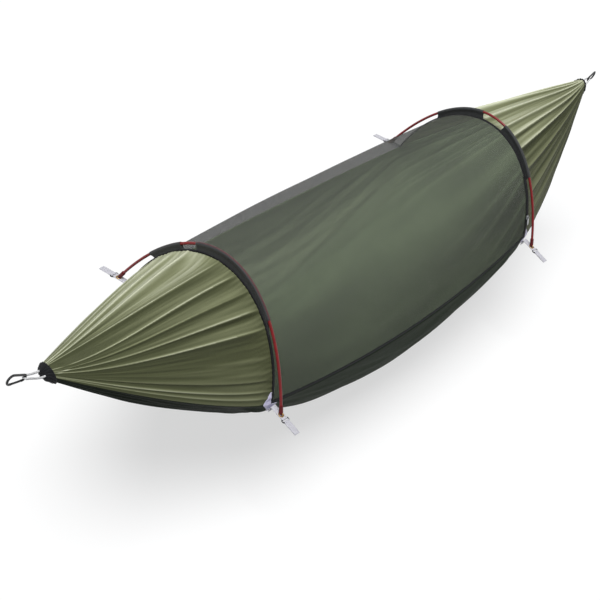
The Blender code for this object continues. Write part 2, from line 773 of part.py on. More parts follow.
EYE_WIDTH = 2 * (RING_HALF_WIDTH - RING_CORNER - SEAT_GAP)
for corner, (side, edge) in CORNERS.items():
    frame = corner_frame(side, edge)
    face, back = (patch_grid(side, edge, PATCH_LIFT + depth) for depth in (PATCH_THICK, 0.0))
    shell(f"patch_{corner}", face, back, white_webbing)

    strap_plane = empty(f"strap_plane_{corner}", side_plane(frame))
    width = min(STRAP_WIDTH, EYE_WIDTH)
    strap = flat_outline(f"strap_{corner}", strap_outline(), width / 2, white_webbing, strap_plane)
    strap = as_mesh(strap)
    hole = Matrix.Translation((GROMMET_AT, 0.0, 0.0)) @ Matrix.Rotation(math.pi / 2, 4, "X")
    bore = rod_mesh(GROMMET_BORE + GROMMET_LIP + SEAT_GAP, 4 * STRAP_THICK)
    cut(strap, cutter_of(f"strap_bore_{corner}", bore, strap_plane, hole))

    grommet_frame = frame @ Matrix.Translation((0.0, GROMMET_AT, 0.0))
    seat = STRAP_THICK / 2 + SEAT_GAP
    neck = GROMMET_BORE + GROMMET_LIP
    profile = [
        (GROMMET_FLANGE, seat + GROMMET_LIP),
        (GROMMET_FLANGE, seat),
        (neck, seat),
        (neck, -seat),
        (GROMMET_FLANGE, -seat),
        (GROMMET_FLANGE, -seat - GROMMET_LIP),
        (GROMMET_BORE, -seat - GROMMET_LIP),
        (GROMMET_BORE, seat + GROMMET_LIP),
    ]
    turned(f"grommet_{corner}", profile, brass, empty(f"grommet_frame_{corner}", grommet_frame))

    ring_frame = empty(f"ring_axis_{corner}", frame @ Matrix.Translation((0.0, BAR_AT, 0.0)))
    tube(f"ring_{corner}", ring_route(), RING_WIRE, black_metal, ring_frame, cyclic=True)

    tab_axis = side_plane(frame, BAR_AT + RING_STEP)
    tab_frame = empty(f"tab_axis_{corner}", tab_axis)
    tab = flat_outline(f"tab_{corner}", tab_outline(), width / 2, white_webbing, tab_frame)
    as_mesh(tab)


# Pole tips: a metal socket on the pole's end and a stem through the grommet

for corner, (side, edge) in CORNERS.items():
    foot, way = pole_point(1.0), pole_along(1.0)
    down = (0.0, edge * way[0], way[1])
    across = (0.0, edge * way[1], -way[0])
    tip_frame = frame_of((side * HOOP_X, edge * foot[0], foot[1]), (float(edge), 0, 0), across, down)
    inner = POLE_RADIUS + POLE_PLAY
    outer = inner + TIP_WALL
    lean = math.acos(abs(way[0] * math.sin(TILT) + way[1] * math.cos(TILT)))
    lip_height = SEAT_GAP + GROMMET_LIP
    shoulder = POLE_TO_STRAP - (lip_height + SEAT_GAP) / math.cos(lean) - outer * math.tan(lean)
    profile = [
        (outer, -TIP_SOCKET),
        (inner, -TIP_SOCKET),
        (inner, SEAT_GAP),
        (0.0, SEAT_GAP),
        (0.0, shoulder + TIP_STEM),
        (TIP_STEM_RADIUS, shoulder + TIP_STEM),
        (TIP_STEM_RADIUS, shoulder),
        (outer, shoulder),
    ]
    turned(f"pole_tip_{corner}", profile, pole_metal, empty(f"tip_frame_{corner}", tip_frame))


# Zip: tape and coil bead under the net's front edge and up beside the right hoop


def zip_section(point, along_width, out, base):
    """Tape with a raised bead; base is the tape's inner face along out."""
    half, bead = ZIP_WIDTH / 2, ZIP_BEAD_WIDTH / 2
    face = base + ZIP_TAPE
    outline = [
        (-half, base),
        (half, base),
        (half, face),
        (bead, face),
        (bead * 0.7, face + ZIP_BEAD),
        (-bead * 0.7, face + ZIP_BEAD),
        (-bead, face),
        (-half, face),
    ]
    return [point + u * along_width + v * out for u, v in outline]


zip_x = stations_of_net()
zip_s = -1.0 + (EDGE_GAP + ZIP_WIDTH / 2) / arch_metres(zip_x)
zip_points = arch_point(zip_x, zip_s)
zip_out = arch_out(zip_s, zip_x)
zip_up = np.cross(np.array([1.0, 0.0, 0.0]), zip_out)
zip_rings = [
    zip_section(p, up, out, -ZIP_TAPE) for p, up, out in zip(zip_points, zip_up, zip_out)
]
place("zip_seam", loft(np.array(zip_rings)), black_tape)

riser_x = HOOP_X - BINDING_WIDTH / 2 - SEAT_GAP - ZIP_WIDTH / 2
riser_s = np.linspace(-RISER_START, -RISER_END, 17)
riser_points = arch_point(np.full(riser_s.shape, riser_x), riser_s)
riser_out = arch_out(riser_s, np.full(riser_s.shape, riser_x))
riser_rings = [
    zip_section(p, np.array([1.0, 0.0, 0.0]), out, SEAT_GAP)
    for p, out in zip(riser_points, riser_out)
]
place("zip_riser", loft(np.array(riser_rings)), black_tape)


# Zip slider and its pull. The riser is close to an arc, so the slider turns about its centre.


def arc_centre(points):
    """Centre of the circle through three points of a plane across the hammock."""
    first, middle, last = points[:, 1:]
    sides = 2 * np.array([middle - first, last - first])
    squares = np.array([middle @ middle - first @ first, last @ last - first @ first])
    return np.linalg.solve(sides, squares)


track_s = -np.array([RISER_START - TRACK_END, (RISER_START + RISER_END) / 2, RISER_END + TRACK_END])
track = arch_point(np.full(3, riser_x), track_s)
centre = arc_centre(track)
slider_base = arch_point(riser_x, -SLIDER_AT)
spoke = slider_base[1:] - centre
track_radius = float(np.linalg.norm(track[1, 1:] - centre))
spoke /= np.linalg.norm(spoke)
slider_axis = (riser_x, float(centre[0]), float(centre[1]))
slider_frame = empty(
    "slider_axis",
    frame_of(slider_axis, (0.0, -spoke[1], spoke[0]), (-1.0, 0.0, 0.0), (0.0, *spoke)),
)
face_height = track_radius + 2 * SEAT_GAP + ZIP_TAPE
groove = ZIP_BEAD + SEAT_GAP
half, slot = SLIDER_WIDTH / 2, ZIP_BEAD_WIDTH / 2 + 2 * SEAT_GAP
body_section = [
    (-half, 0.0),
    (-slot, 0.0),
    (-slot * 0.8, groove),
    (slot * 0.8, groove),
    (slot, 0.0),
    (half, 0.0),
    (half, SLIDER_HEIGHT * 0.7),
    (half * 0.7, SLIDER_HEIGHT),
    (-half * 0.7, SLIDER_HEIGHT),
    (-half, SLIDER_HEIGHT * 0.7),
]
body_rings = [
    [(u * SLIDER_LENGTH, y * narrow, face_height + z) for y, z in body_section]
    for u, narrow in ((-0.5, 0.86), (-0.25, 1.0), (0.25, 1.0), (0.5, 0.90))
]
slider = place("zip_slider", loft(np.array(body_rings)), black_metal, slider_frame)
slider_top = face_height + SLIDER_HEIGHT
bridge_half = BRIDGE_HOLE / 2 + BRIDGE_WIRE
bridge = box_mesh(
    (-bridge_half, -BRIDGE_WIRE, slider_top - SLIDER_HEIGHT / 4),
    (bridge_half, BRIDGE_WIRE, slider_top + BRIDGE_HOLE + BRIDGE_WIRE),
)
join = slider.modifiers.new("bridge", "BOOLEAN")
join.operation = "UNION"
join.solver = "EXACT"
join.object = cutter_of("slider_bridge", bridge, slider_frame)
hole = box_mesh(
    (-BRIDGE_HOLE / 2, -half, slider_top), (BRIDGE_HOLE / 2, half, slider_top + BRIDGE_HOLE)
)
cut(slider, cutter_of("slider_bridge_hole", hole, slider_frame))

pull_frame = bpy.data.objects.new("pull_axis", None)
parts.objects.link(pull_frame)
pull_frame.parent = slider_frame
pull_frame.location = (0.0, 0.0, slider_top + BRIDGE_HOLE / 2)
bar = PULL_THICK / 2
window = bar + bridge_half + 2 * SEAT_GAP
arm_inner = BRIDGE_WIRE + 2 * SEAT_GAP
pull_outline = [
    (-bar, PULL_WIDTH / 2),
    (PULL_LENGTH * 0.8, PULL_WIDTH / 2),
    (PULL_LENGTH, PULL_WIDTH / 4),
    (PULL_LENGTH, -PULL_WIDTH / 4),
    (PULL_LENGTH * 0.8, -PULL_WIDTH / 2),
    (-bar, -PULL_WIDTH / 2),
]
pull_window = [(bar, arm_inner), (window, arm_inner), (window, -arm_inner), (bar, -arm_inner)]
pull = flat_outline("zip_pull", [pull_outline, pull_window], bar, black_metal, pull_frame)
as_mesh(pull)


# Gathered ends: a pleated black hem closes over the cloth, with a socket for each cord leg


def girth(x, out, count):
    """The hammock's whole section at x as one loop, moved out from its middle."""
    at = min(x, HALF_LENGTH)
    t = np.arange(count) / count
    below = t < 0.5
    angle = (4 * t - 1) * math.pi / 2
    s = 1.0 - 2 * (2 * t - 1)
    loop = np.where(
        below[:, None],
        bed_point(at, np.clip(angle, -math.pi / 2, math.pi / 2)),
        arch_point(at, np.clip(s, -1.0, 1.0)),
    )
    centre = np.array([at, 0.0, float(edge_height(at))])
    ray = loop - centre
    size = np.linalg.norm(ray, axis=1, keepdims=True)
    pleats = 1.0 + HEM_PLEAT / HEM_WALL * np.cos(2 * math.pi * HEM_PLEATS * t)[:, None]
    moved = loop + ray / size * out * (pleats if out > 2 * EDGE_GAP else 1.0)
    moved[:, 0] = x
    return moved


def hem_mesh(side):
    around = 4 * HEM_PLEATS
    inner = EDGE_GAP
    first = HALF_LENGTH - HEM_LENGTH
    loops = [
        girth(HALF_LENGTH + SEAT_GAP, inner, around),
        girth(first, inner, around),
        girth(first, inner + HEM_WALL * 0.8, around),
        girth(HALF_LENGTH - HEM_LENGTH / 2, inner + HEM_WALL, around),
        girth(HALF_LENGTH + HEM_PLUG * 0.4, inner + HEM_WALL * 0.9, around),
        girth(HALF_LENGTH + HEM_PLUG, inner, around),
    ]
    rings = np.array(loops)
    if side < 0:
        rings[..., 0] *= -1
    return loft(rings)


def hermite(start, end, start_way, end_way, steps):
    """A cubic between two points that leaves and arrives in given directions."""
    t = np.linspace(0.0, 1.0, steps)[:, None]
    rise, fall = 3 * t**2 - 2 * t**3, 2 * t**3 - 3 * t**2 + 1
    return start * fall + end * rise + start_way * (t**3 - 2 * t**2 + t) + end_way * (t**3 - t**2)


PLUG_FACE = HALF_LENGTH + HEM_PLUG
BIGHT_RADIUS = BINER_WIRE + SEAT_GAP + CORD_RADIUS


def hang_axes(side, rise, turn):
    """Directions at a hammock end: along the pull, across it, and up from both."""
    rise, turn = math.radians(rise), math.radians(turn)
    along = (side * math.cos(rise) * math.cos(turn), -math.sin(turn), math.sin(rise))
    along = np.array(along) / np.linalg.norm(along)
    across = np.cross([0.0, 0.0, 1.0], along)
    across /= np.linalg.norm(across)
    return along, across, np.cross(along, across)


def cord_route(side, reach, bow, along, across):
    """Centre line of a cord loop, from one socket round the carabiner's wire to the other."""
    out = np.array([float(side), 0.0, 0.0])
    legs = []
    for leg in (1.0, -1.0):
        socket = (side * (PLUG_FACE - CORD_SOCKET + SEAT_GAP), leg * side * CORD_SPREAD, BED_DEPTH)
        mouth = np.array(socket) + out * (CORD_SOCKET + SOCKET_MOUTH)
        bight = bow + leg * across * BIGHT_RADIUS
        pull = reach * 0.7
        legs.append([np.array(socket), *hermite(mouth, bight, out * pull, along * pull, 8)])
    turns = np.radians(np.linspace(90.0, -90.0, 11)[1:-1])[:, None]
    bend = bow + BIGHT_RADIUS * (np.cos(turns) * along + np.sin(turns) * across)
    return [*legs[0], *bend, *legs[1][::-1]]


for name, (side, reach, rise, turn) in HANGS.items():
    hem = place(f"end_hem_{name}", hem_mesh(side), black_tape)
    socket_centre = PLUG_FACE + (SOCKET_MOUTH - CORD_SOCKET) / 2
    for leg in (-1, 1):
        socket = rod_mesh(CORD_RADIUS + SEAT_GAP, CORD_SOCKET + SOCKET_MOUTH, along="X")
        at = Matrix.Translation((side * socket_centre, leg * CORD_SPREAD, BED_DEPTH))
        cut(hem, cutter_of(f"cord_socket_{name}_{leg}", socket, None, at))
    along, across, _ = hang_axes(side, rise, turn)
    bow = np.array([side * PLUG_FACE, 0.0, BED_DEPTH]) + reach * along
    route = cord_route(side, reach, bow, along, across)
    tube(f"cord_loop_{name}", route, CORD_RADIUS, white_cord)


# Carabiners: a bent wire body and a gate on a pin, drawn about the centre of the narrow bow


def biner_lines():
    """Wide bow and narrow bow in the local XZ plane, and the start and way of the gate's side."""
    lean = math.degrees(math.asin((BINER_WIDE - BINER_NARROW) / BINER_SPAN))
    wide = arc((BINER_SPAN, 0.0), BINER_WIDE, -90.0 - lean, 90.0 + lean, 17)
    narrow = arc((0.0, 0.0), BINER_NARROW, 90.0 + lean, 270.0 - lean, 13)
    start, end = np.array(narrow[-1]), np.array(wide[0])
    return wide, narrow, start, (end - start) / np.linalg.norm(end - start)


def beside_tongue(first, last):
    """Two boxes that leave a tongue between them, in the gate's frame."""
    reach, half = 3 * BINER_WIRE, TONGUE_THICK / 2
    return {
        "near": box_mesh((first, -reach, -reach), (last, -half, reach)),
        "far": box_mesh((first, half, -reach), (last, reach, reach)),
    }


wide_bow, narrow_bow, gate_start, gate_way = biner_lines()
pin_at = gate_start + gate_way * GATE_HINGE_AT
tongue_end = gate_start + gate_way * (GATE_HINGE_AT + TONGUE_PAST_PIN)
nose_end = pin_at + gate_way * (GATE_LENGTH - NOSE_BITE)

for name, (side, reach, rise, turn) in HANGS.items():
    along, across, up = hang_axes(side, rise, turn)
    centre = np.array([side * PLUG_FACE, 0.0, BED_DEPTH]) + (reach + BINER_NARROW) * along
    hang = empty(f"hang_axis_{name}", frame_of(centre, along, across, up))
    route = [(x, 0.0, z) for x, z in (nose_end, *wide_bow, *narrow_bow, tongue_end)]
    body = as_mesh(tube(f"carabiner_{name}", route, BINER_WIRE, black_metal, hang))

    gate_frame = bpy.data.objects.new(f"gate_axis_{name}", None)
    parts.objects.link(gate_frame)
    gate_frame.parent = hang
    gate_x, gate_z = (gate_way[0], 0.0, gate_way[1]), (-gate_way[1], 0.0, gate_way[0])
    pin_place = (pin_at[0], 0.0, pin_at[1])
    gate_frame.matrix_local = frame_of(pin_place, gate_x, (0.0, 1.0, 0.0), gate_z)

    past_nose = GATE_LENGTH + NOSE_GAP
    stretches = {"hinge": (-SHOULDER_GAP, past_nose / 2), "nose": (past_nose / 2, past_nose)}
    for end, (first, last) in stretches.items():
        for flank, mesh in beside_tongue(first, last).items():
            cut(body, cutter_of(f"tongue_{name}_{end}_{flank}", mesh, gate_frame))
    bore = rod_mesh(PIN_RADIUS + PIN_PLAY, 4 * BINER_WIRE, along="Y")
    cut(body, cutter_of(f"pin_hole_{name}", bore, gate_frame))

    gate = rod_mesh(GATE_RADIUS, GATE_LENGTH + GATE_HEEL, along="X")
    gate.transform(Matrix.Translation(((GATE_LENGTH - GATE_HEEL) / 2, 0.0, 0.0)))
    gate = place(f"gate_{name}", gate, black_metal, gate_frame)
    slot = TONGUE_THICK / 2 + TONGUE_PLAY
    forks = {"heel": (-FORK_DEPTH, FORK_DEPTH), "tip": (GATE_LENGTH - FORK_DEPTH, past_nose)}
    for end, (first, last) in forks.items():
        fork = box_mesh((first, -slot, -3 * GATE_RADIUS), (last, slot, 3 * GATE_RADIUS))
        cut(gate, cutter_of(f"gate_slot_{name}_{end}", fork, gate_frame))
    cut(gate, cutter_of(f"gate_bore_{name}", bore.copy(), gate_frame))
    pin = rod_mesh(PIN_RADIUS, 2 * GATE_RADIUS, steps=12, along="Y")
    place(f"gate_pin_{name}", pin, pole_metal, gate_frame)
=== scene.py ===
"""Camping hammock with a pop-up net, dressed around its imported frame.

Frame: X along the hammock, -Y the side with the zip, +Z up, in metres. Each section below is one
piece, or a group of like pieces, in the order in which the hammock is put together.
"""

import json
import math

import bmesh
import bpy
import numpy as np
from mathutils import Matrix, Vector


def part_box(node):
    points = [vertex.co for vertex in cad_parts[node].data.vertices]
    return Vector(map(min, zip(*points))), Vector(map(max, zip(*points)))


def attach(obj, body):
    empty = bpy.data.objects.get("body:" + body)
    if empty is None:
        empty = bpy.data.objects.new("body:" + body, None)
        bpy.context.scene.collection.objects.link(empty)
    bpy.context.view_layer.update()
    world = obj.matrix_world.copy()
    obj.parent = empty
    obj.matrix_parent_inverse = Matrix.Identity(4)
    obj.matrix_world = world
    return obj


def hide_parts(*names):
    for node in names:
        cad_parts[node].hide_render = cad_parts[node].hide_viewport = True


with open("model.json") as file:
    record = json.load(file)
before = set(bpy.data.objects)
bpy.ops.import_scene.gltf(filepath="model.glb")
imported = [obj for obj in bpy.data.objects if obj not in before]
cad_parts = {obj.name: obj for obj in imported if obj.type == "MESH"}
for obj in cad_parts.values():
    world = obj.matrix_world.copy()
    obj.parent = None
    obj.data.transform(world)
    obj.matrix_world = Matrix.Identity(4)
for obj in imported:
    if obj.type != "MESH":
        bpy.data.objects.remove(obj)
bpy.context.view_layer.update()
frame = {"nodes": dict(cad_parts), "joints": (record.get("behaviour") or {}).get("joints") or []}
bpy.context.scene.view_settings.view_transform = "Standard"


# The view and the room. A long lens looks down on the left end and leans, as the photograph does.
# The floor is pale and far enough below for a soft shadow, and large lamps light it from above.

TARGET = np.array([-0.1940, -0.0093, 0.2894])
AZIMUTH, ELEVATION, ROLL = (math.radians(angle) for angle in (-65.73, 38.20, 23.41))
DISTANCE = 4.295
LENS = 88.17


def unit(vectors):
    """Each vector over its own length."""
    return vectors / np.linalg.norm(vectors, axis=-1, keepdims=True)


def placed(name, data):
    """A new object in the scene, for a camera, a lamp or a mesh."""
    made = bpy.data.objects.new(name, data)
    bpy.context.scene.collection.objects.link(made)
    return made


back = np.array([math.sin(AZIMUTH), -math.cos(AZIMUTH), math.tan(ELEVATION)]) * math.cos(ELEVATION)
level = unit(np.cross(-back, (0.0, 0.0, 1.0)))
raised = np.cross(level, -back)
picture_right = level * math.cos(ROLL) + raised * math.sin(ROLL)
picture_up = raised * math.cos(ROLL) - level * math.sin(ROLL)
camera = placed("camera", bpy.data.cameras.new("camera"))
bpy.context.scene.camera = camera
camera.data.lens = LENS
turn = Matrix(np.column_stack([picture_right, picture_up, back]).tolist()).to_4x4()
camera.matrix_world = Matrix.Translation(TARGET + back * DISTANCE) @ turn


def linear(code):
    """Linear RGBA of an sRGB hex colour."""
    parts = [int(code[i : i + 2], 16) / 255 for i in (1, 3, 5)]
    low_end = [c / 12.92 if c <= 0.04045 else ((c + 0.055) / 1.055) ** 2.4 for c in parts]
    return (*low_end, 1.0)


def add(tree, kind, sockets=None, **settings):
    """Adds a node. Settings are its properties, and sockets its inputs: values or outputs."""
    made = tree.nodes.new(kind)
    for name, value in settings.items():
        setattr(made, name, value)
    for name, value in (sockets or {}).items():
        if isinstance(value, bpy.types.NodeSocket):
            tree.links.new(value, made.inputs[name])
        else:
            made.inputs[name].default_value = value
    return made


def seen(tree):
    """1 for the eye's rays and for those that glossy or clear things send on, and 0 for the rest:
    the sum of three of Light Path's marks."""
    rays = add(tree, "ShaderNodeLightPath")
    total = rays.outputs["Is Camera Ray"]
    for mark in ("Is Glossy Ray", "Is Transmission Ray"):
        more = add(tree, "ShaderNodeMath", {0: total, 1: rays.outputs[mark]}, operation="ADD")
        total = more.outputs[0]
    return total


# Matt studio paper: pale grey to the lamps, and lifted to white for the eye and for reflections.
FLOOR_Z = -0.04
FLOOR_HALF = 9.0
PAPER_GLOW = 0.62

paper = bpy.data.materials.new("studio_paper")
paper.use_nodes = True
tree = paper.node_tree
tree.nodes.clear()
glow = add(tree, "ShaderNodeEmission", {"Color": linear("#ffffff"), "Strength": PAPER_GLOW})
none = add(tree, "ShaderNodeEmission", {"Strength": 0.0})
lift = add(tree, "ShaderNodeMixShader", {0: seen(tree), 1: none.outputs[0], 2: glow.outputs[0]})
matt = add(tree, "ShaderNodeBsdfDiffuse", {"Color": linear("#9f9f9f")})
both = add(tree, "ShaderNodeAddShader", {0: matt.outputs[0], 1: lift.outputs[0]})
add(tree, "ShaderNodeOutputMaterial", {"Surface": both.outputs[0]})

plane = bpy.data.meshes.new("floor")
corners = FLOOR_HALF * np.array([(-1, -1), (1, -1), (1, 1), (-1, 1)])
plane.from_pydata([(x, y, FLOOR_Z) for x, y in corners.tolist()], [], [(0, 1, 2, 3)])
plane.materials.append(paper)
placed("floor", plane)

AMBIENT = 0.24

world = bpy.data.worlds.new("room")
bpy.context.scene.world = world
world.use_nodes = True
tree = world.node_tree
tree.nodes.clear()
white = add(tree, "ShaderNodeBackground", {"Color": linear("#ffffff"), "Strength": 1.0})
ambient = add(tree, "ShaderNodeBackground", {"Color": linear("#eef2f6"), "Strength": AMBIENT})
either = add(
    tree, "ShaderNodeMixShader", {0: seen(tree), 1: ambient.outputs[0], 2: white.outputs[0]}
)
add(tree, "ShaderNodeOutputWorld", {"Surface": either.outputs[0]})


def lamp(name, way, spread, power):
    """A wide soft sun whose light comes from a direction: spread is in degrees, and at a power of
    pi a surface that faces it shows its own colour."""
    data = bpy.data.lights.new(name, "SUN")
    data.angle, data.energy = math.radians(spread), power
    placed(name, data).rotation_euler = Vector(way).to_track_quat("Z", "Y").to_euler()


lamp("key", (-0.42, 0.02, 1.0), 34.0, 3.3)
lamp("fill", (-0.8, -0.2, 0.6), 60.0, 0.12)


# The bed: one wide sheet of dark green nylon taffeta, cut as a rectangle and gathered at both ends.
# It hangs in a long curve. Folds run in from the gathers and fade out under the net.

HALF_LENGTH = 1.300
BED_DEPTH = 0.600  # from the line between the gathers to the lowest point
BED_LONG_POWER = 1.50
BED_KEEL = 0.08
BED_CROSS_POWER = 0.58
EDGE_HALF_WIDTH = 0.298
EDGE_DROP = 0.274
GATHER_RADIUS = 0.020
HOOP_X = 0.667
SEAM_HALF_WIDTH = 0.266
SEAM_DROP = 0.242
TAPER_WIDTH = 1.20
TAPER_DROP = 1.25
BINDING_WIDTH = 0.006
SEAT_GAP = 0.0004
BED_FOLD_START = 0.40
BED_FOLDS = 15
BED_FOLD_DEEP = 0.13  # over the fold's width
FOLD_SEED = 5
BED_SEED = 11
BED_WAVES = [(0.75, 0.075, 0.0016), (0.42, 0.045, 0.0008), (0.9, 0.14, 0.0022)]
DRAWN_UP = 0.020  # the front wall near its left end
BULGE = 0.017  # the front wall right of the middle
BED_TONE = 0.395
BED_CLOTH = 0.0009


def past_hoop(x):
    """0 up to the hoop, growing to 1 at the gathered end."""
    return np.clip((np.abs(x) - HOOP_X) / (HALF_LENGTH - HOOP_X), 0.0, 1.0)


def to_hoop(x):
    """0 at the middle of the hammock, growing to 1 at the hoop."""
    return np.clip(np.abs(x) / HOOP_X, 0.0, 1.0)


def edge_half_width(x):
    """Half the width between the bed's edges: it eases in to the hoop and tapers to the gather."""
    inside = EDGE_HALF_WIDTH + (SEAM_HALF_WIDTH - EDGE_HALF_WIDTH) * to_hoop(x) ** 2
    taper = 1.0 - past_hoop(x) ** TAPER_WIDTH
    outside = GATHER_RADIUS + (SEAM_HALF_WIDTH - GATHER_RADIUS) * taper
    return np.where(np.abs(x) <= HOOP_X, inside, outside)


def edge_height(x):
    """Height of the bed's edges, lowest at the middle."""
    inside = EDGE_DROP + (SEAM_DROP - EDGE_DROP) * to_hoop(x) ** 2
    outside = SEAM_DROP * (1.0 - past_hoop(x) ** TAPER_DROP)
    return BED_DEPTH - np.where(np.abs(x) <= HOOP_X, inside, outside)


def bed_bottom(x):
    """Height of the bed's lowest line: a power of the distance, rounded over the keel."""
    away = np.clip(np.abs(x) / HALF_LENGTH, 0.0, 1.0)
    rounded = np.hypot(away, BED_KEEL) ** BED_LONG_POWER - BED_KEEL**BED_LONG_POWER
    full = math.hypot(1.0, BED_KEEL) ** BED_LONG_POWER - BED_KEEL**BED_LONG_POWER
    return (BED_DEPTH - GATHER_RADIUS) * rounded / full


def bed_point(x, b):
    """The smooth bed at x; b runs across from -1 at the front edge through 0 below to 1.
    The section is a half ellipse made fuller by a power of the sine."""
    x, b = np.broadcast_arrays(x, b)
    angle = b * math.pi / 2
    y = edge_half_width(x) * np.sign(angle) * np.abs(np.sin(angle)) ** BED_CROSS_POWER
    top, bottom = edge_height(x), bed_bottom(x)
    return np.stack([x, y, top + (bottom - top) * np.abs(np.cos(angle))], -1)


def middle_of(points):
    """The middle of the hammock's section at each point, level with the bed's edges."""
    x = points[..., 0]
    return np.stack([x, np.zeros_like(x), edge_height(x)], -1)


def sunk(points, depth):
    """Moves points towards the middle of their section."""
    return points + unit(middle_of(points) - points) * depth[..., None]


def hollow(b, ridges, depths, lowest=0.5):
    """How deep cloth lies at b between ridge lines: nothing on a line, and two half parabolas that
    meet at the lowest place between two. Ridges and depths are lists of columns, one value for
    each section. Also gives each point's place from one ridge, at 0, to the next, at 1."""
    depth, place = np.zeros(b.shape), np.zeros(b.shape)
    for first, last, deepest in zip(ridges[:-1], ridges[1:], depths):
        t = np.clip((b - first) / (last - first), 0.0, 1.0)
        reach = np.where(t < lowest, 1 - t / lowest, (t - lowest) / (1 - lowest))
        depth += deepest * (1 - reach**2)
        place += np.where((t > 0) & (t < 1), t, 0.0)
    return depth, place


def ripple(u, v, waves, seed):
    """A sum of sine waves over two lengths. Each wave is (wavelength along u, along v, height)."""
    phases = np.random.default_rng(seed).uniform(0, 2 * math.pi, (len(waves), 4))
    total = np.zeros(np.broadcast(u, v).shape)
    for (along, across, height), phase in zip(waves, phases):
        bend = 0.6 * np.sin(2 * math.pi * v / (across * 2.7) + phase[2])
        first = np.sin(2 * math.pi * u / along + phase[0] + bend)
        second = np.sin(2 * math.pi * v / across + phase[1] + 0.8 * np.sin(u / along + phase[3]))
        total += height * first * second
    return total


def highest(waves):
    """The most that a ripple stands over its middle: the sum of its waves' heights."""
    return sum(height for _, _, height in waves)


def hump(x, middle, width, power=2):
    """1 at the middle and less to both sides: e to minus a power of the distance in widths."""
    return np.exp(-(((x - middle) / width) ** power))


def lengths(grid, axis):
    """Distance along a grid's rows or columns, averaged over the other direction."""
    steps = np.linalg.norm(np.diff(grid, axis=axis), axis=-1).mean(1 - axis)
    return np.concatenate([[0.0], np.cumsum(steps)])


def piece_of(name, mesh, material, closed=True, merge=0.0):
    """The object of a mesh, smooth and in its material. In a closed mesh, points that lie closer
    than merge are made one, and the faces are turned outwards."""
    if closed:
        work = bmesh.new()
        work.from_mesh(mesh)
        if merge:
            bmesh.ops.remove_doubles(work, verts=work.verts, dist=merge)
        bmesh.ops.recalc_face_normals(work, faces=work.faces)
        work.to_mesh(mesh)
        work.free()
    mesh.shade_smooth()
    mesh.materials.append(material)
    return placed(name, mesh)


def skin(name, grid, material, around=False, along=False, caps=False, wall=0.0):
    """A piece from a grid of points (rows, columns, 3), with its UV map in metres. Columns join up
    when around, rows when along, and caps joins the columns and closes both ends. A sheet that is
    open on all sides faces away from the hammock's middle. A wall lies inside the grid."""
    if caps:
        ends = [np.broadcast_to(row.mean(0), row.shape)[None] for row in (grid[0], grid[-1])]
        grid = np.concatenate([ends[0], grid, ends[1]])
    rows, columns = grid.shape[:2]
    wide = np.concatenate([grid, grid[:, :1]], 1) if around or caps else grid
    long = np.concatenate([wide, wide[:1]], 0) if along else wide
    u, v = lengths(long, 0), lengths(wide, 1)
    i, j = np.indices((len(u) - 1, len(v) - 1)).reshape(2, -1)
    corner = np.array([(0, 0), (0, 1), (1, 1), (1, 0)])
    a, b = i[:, None] + corner[:, 0], j[:, None] + corner[:, 1]
    quads = (a % rows) * columns + b % columns
    uv = np.stack([u[a], v[b]], -1)
    points = grid.reshape(-1, 3)
    closed = around or along or caps
    if not closed:
        first, second, _, last = np.moveaxis(points[quads], 1, 0)
        normal = np.cross(second - first, last - first)
        if np.sum(normal * (first - middle_of(first))) < 0:
            quads, uv = quads[:, ::-1], uv[:, ::-1]
    mesh = bpy.data.meshes.new(name)
    mesh.vertices.add(len(points))
    mesh.vertices.foreach_set("co", points.ravel().astype(np.float32))
    mesh.loops.add(quads.size)
    mesh.loops.foreach_set("vertex_index", quads.ravel().astype(np.int32))
    mesh.polygons.add(len(quads))
    mesh.polygons.foreach_set("loop_start", np.arange(0, quads.size, 4, dtype=np.int32))
    mesh.update(calc_edges=True)
    mesh.uv_layers.new(name="UVMap").data.foreach_set("uv", uv.ravel().astype(np.float32))
    made = piece_of(name, mesh, material, closed, 1e-6)
    if wall:
        solid = made.modifiers.new("wall", "SOLIDIFY")
        solid.thickness, solid.offset = wall, -1.0
    return made


def point_value(piece, name, values):
    """Keeps one number for each point of a piece, for its material to read."""
    attribute = piece.data.attributes.new(name, "FLOAT", "POINT")
    attribute.data.foreach_set("value", np.asarray(values, np.float32).ravel())


def stands_for(piece, node, body="hammock"):
    """Lets a piece ride on a body of the frame and take a node's place."""
    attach(piece, body)
    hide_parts(node)


def blank(name, roughness, gloss=0.5, **sockets):
    """A material with its Principled shader, the place in the object and the place on the UV map.
    Gloss is Specular IOR Level."""
    made = bpy.data.materials.new(name)
    made.use_nodes = True
    tree = made.node_tree
    shader = tree.nodes["Principled BSDF"]
    shader.inputs["Roughness"].default_value = roughness
    shader.inputs["Specular IOR Level"].default_value = gloss
    for key, value in sockets.items():
        shader.inputs[key.replace("_", " ").title()].default_value = value
    where = add(tree, "ShaderNodeTexCoord")
    return made, tree, shader, where.outputs["Object"], where.outputs["UV"]


BANDS = 0.314159  # a Wave texture's bands are this far apart, in metres, at a scale of 1


def weave(tree, flat, warp, weft=None):
    """Height of a woven cloth: the sum of bands along both threads. Spacings are in metres, and
    one will do for both."""
    bands = [
        add(tree, "ShaderNodeTexWave", {"Vector": flat, "Scale": BANDS / gap}, bands_direction=way)
        for gap, way in ((warp, "Y"), (weft or warp, "X"))
    ]
    across, along = (band.outputs["Fac"] for band in bands)
    return add(tree, "ShaderNodeMath", {0: across, 1: along}, operation="ADD").outputs[0]


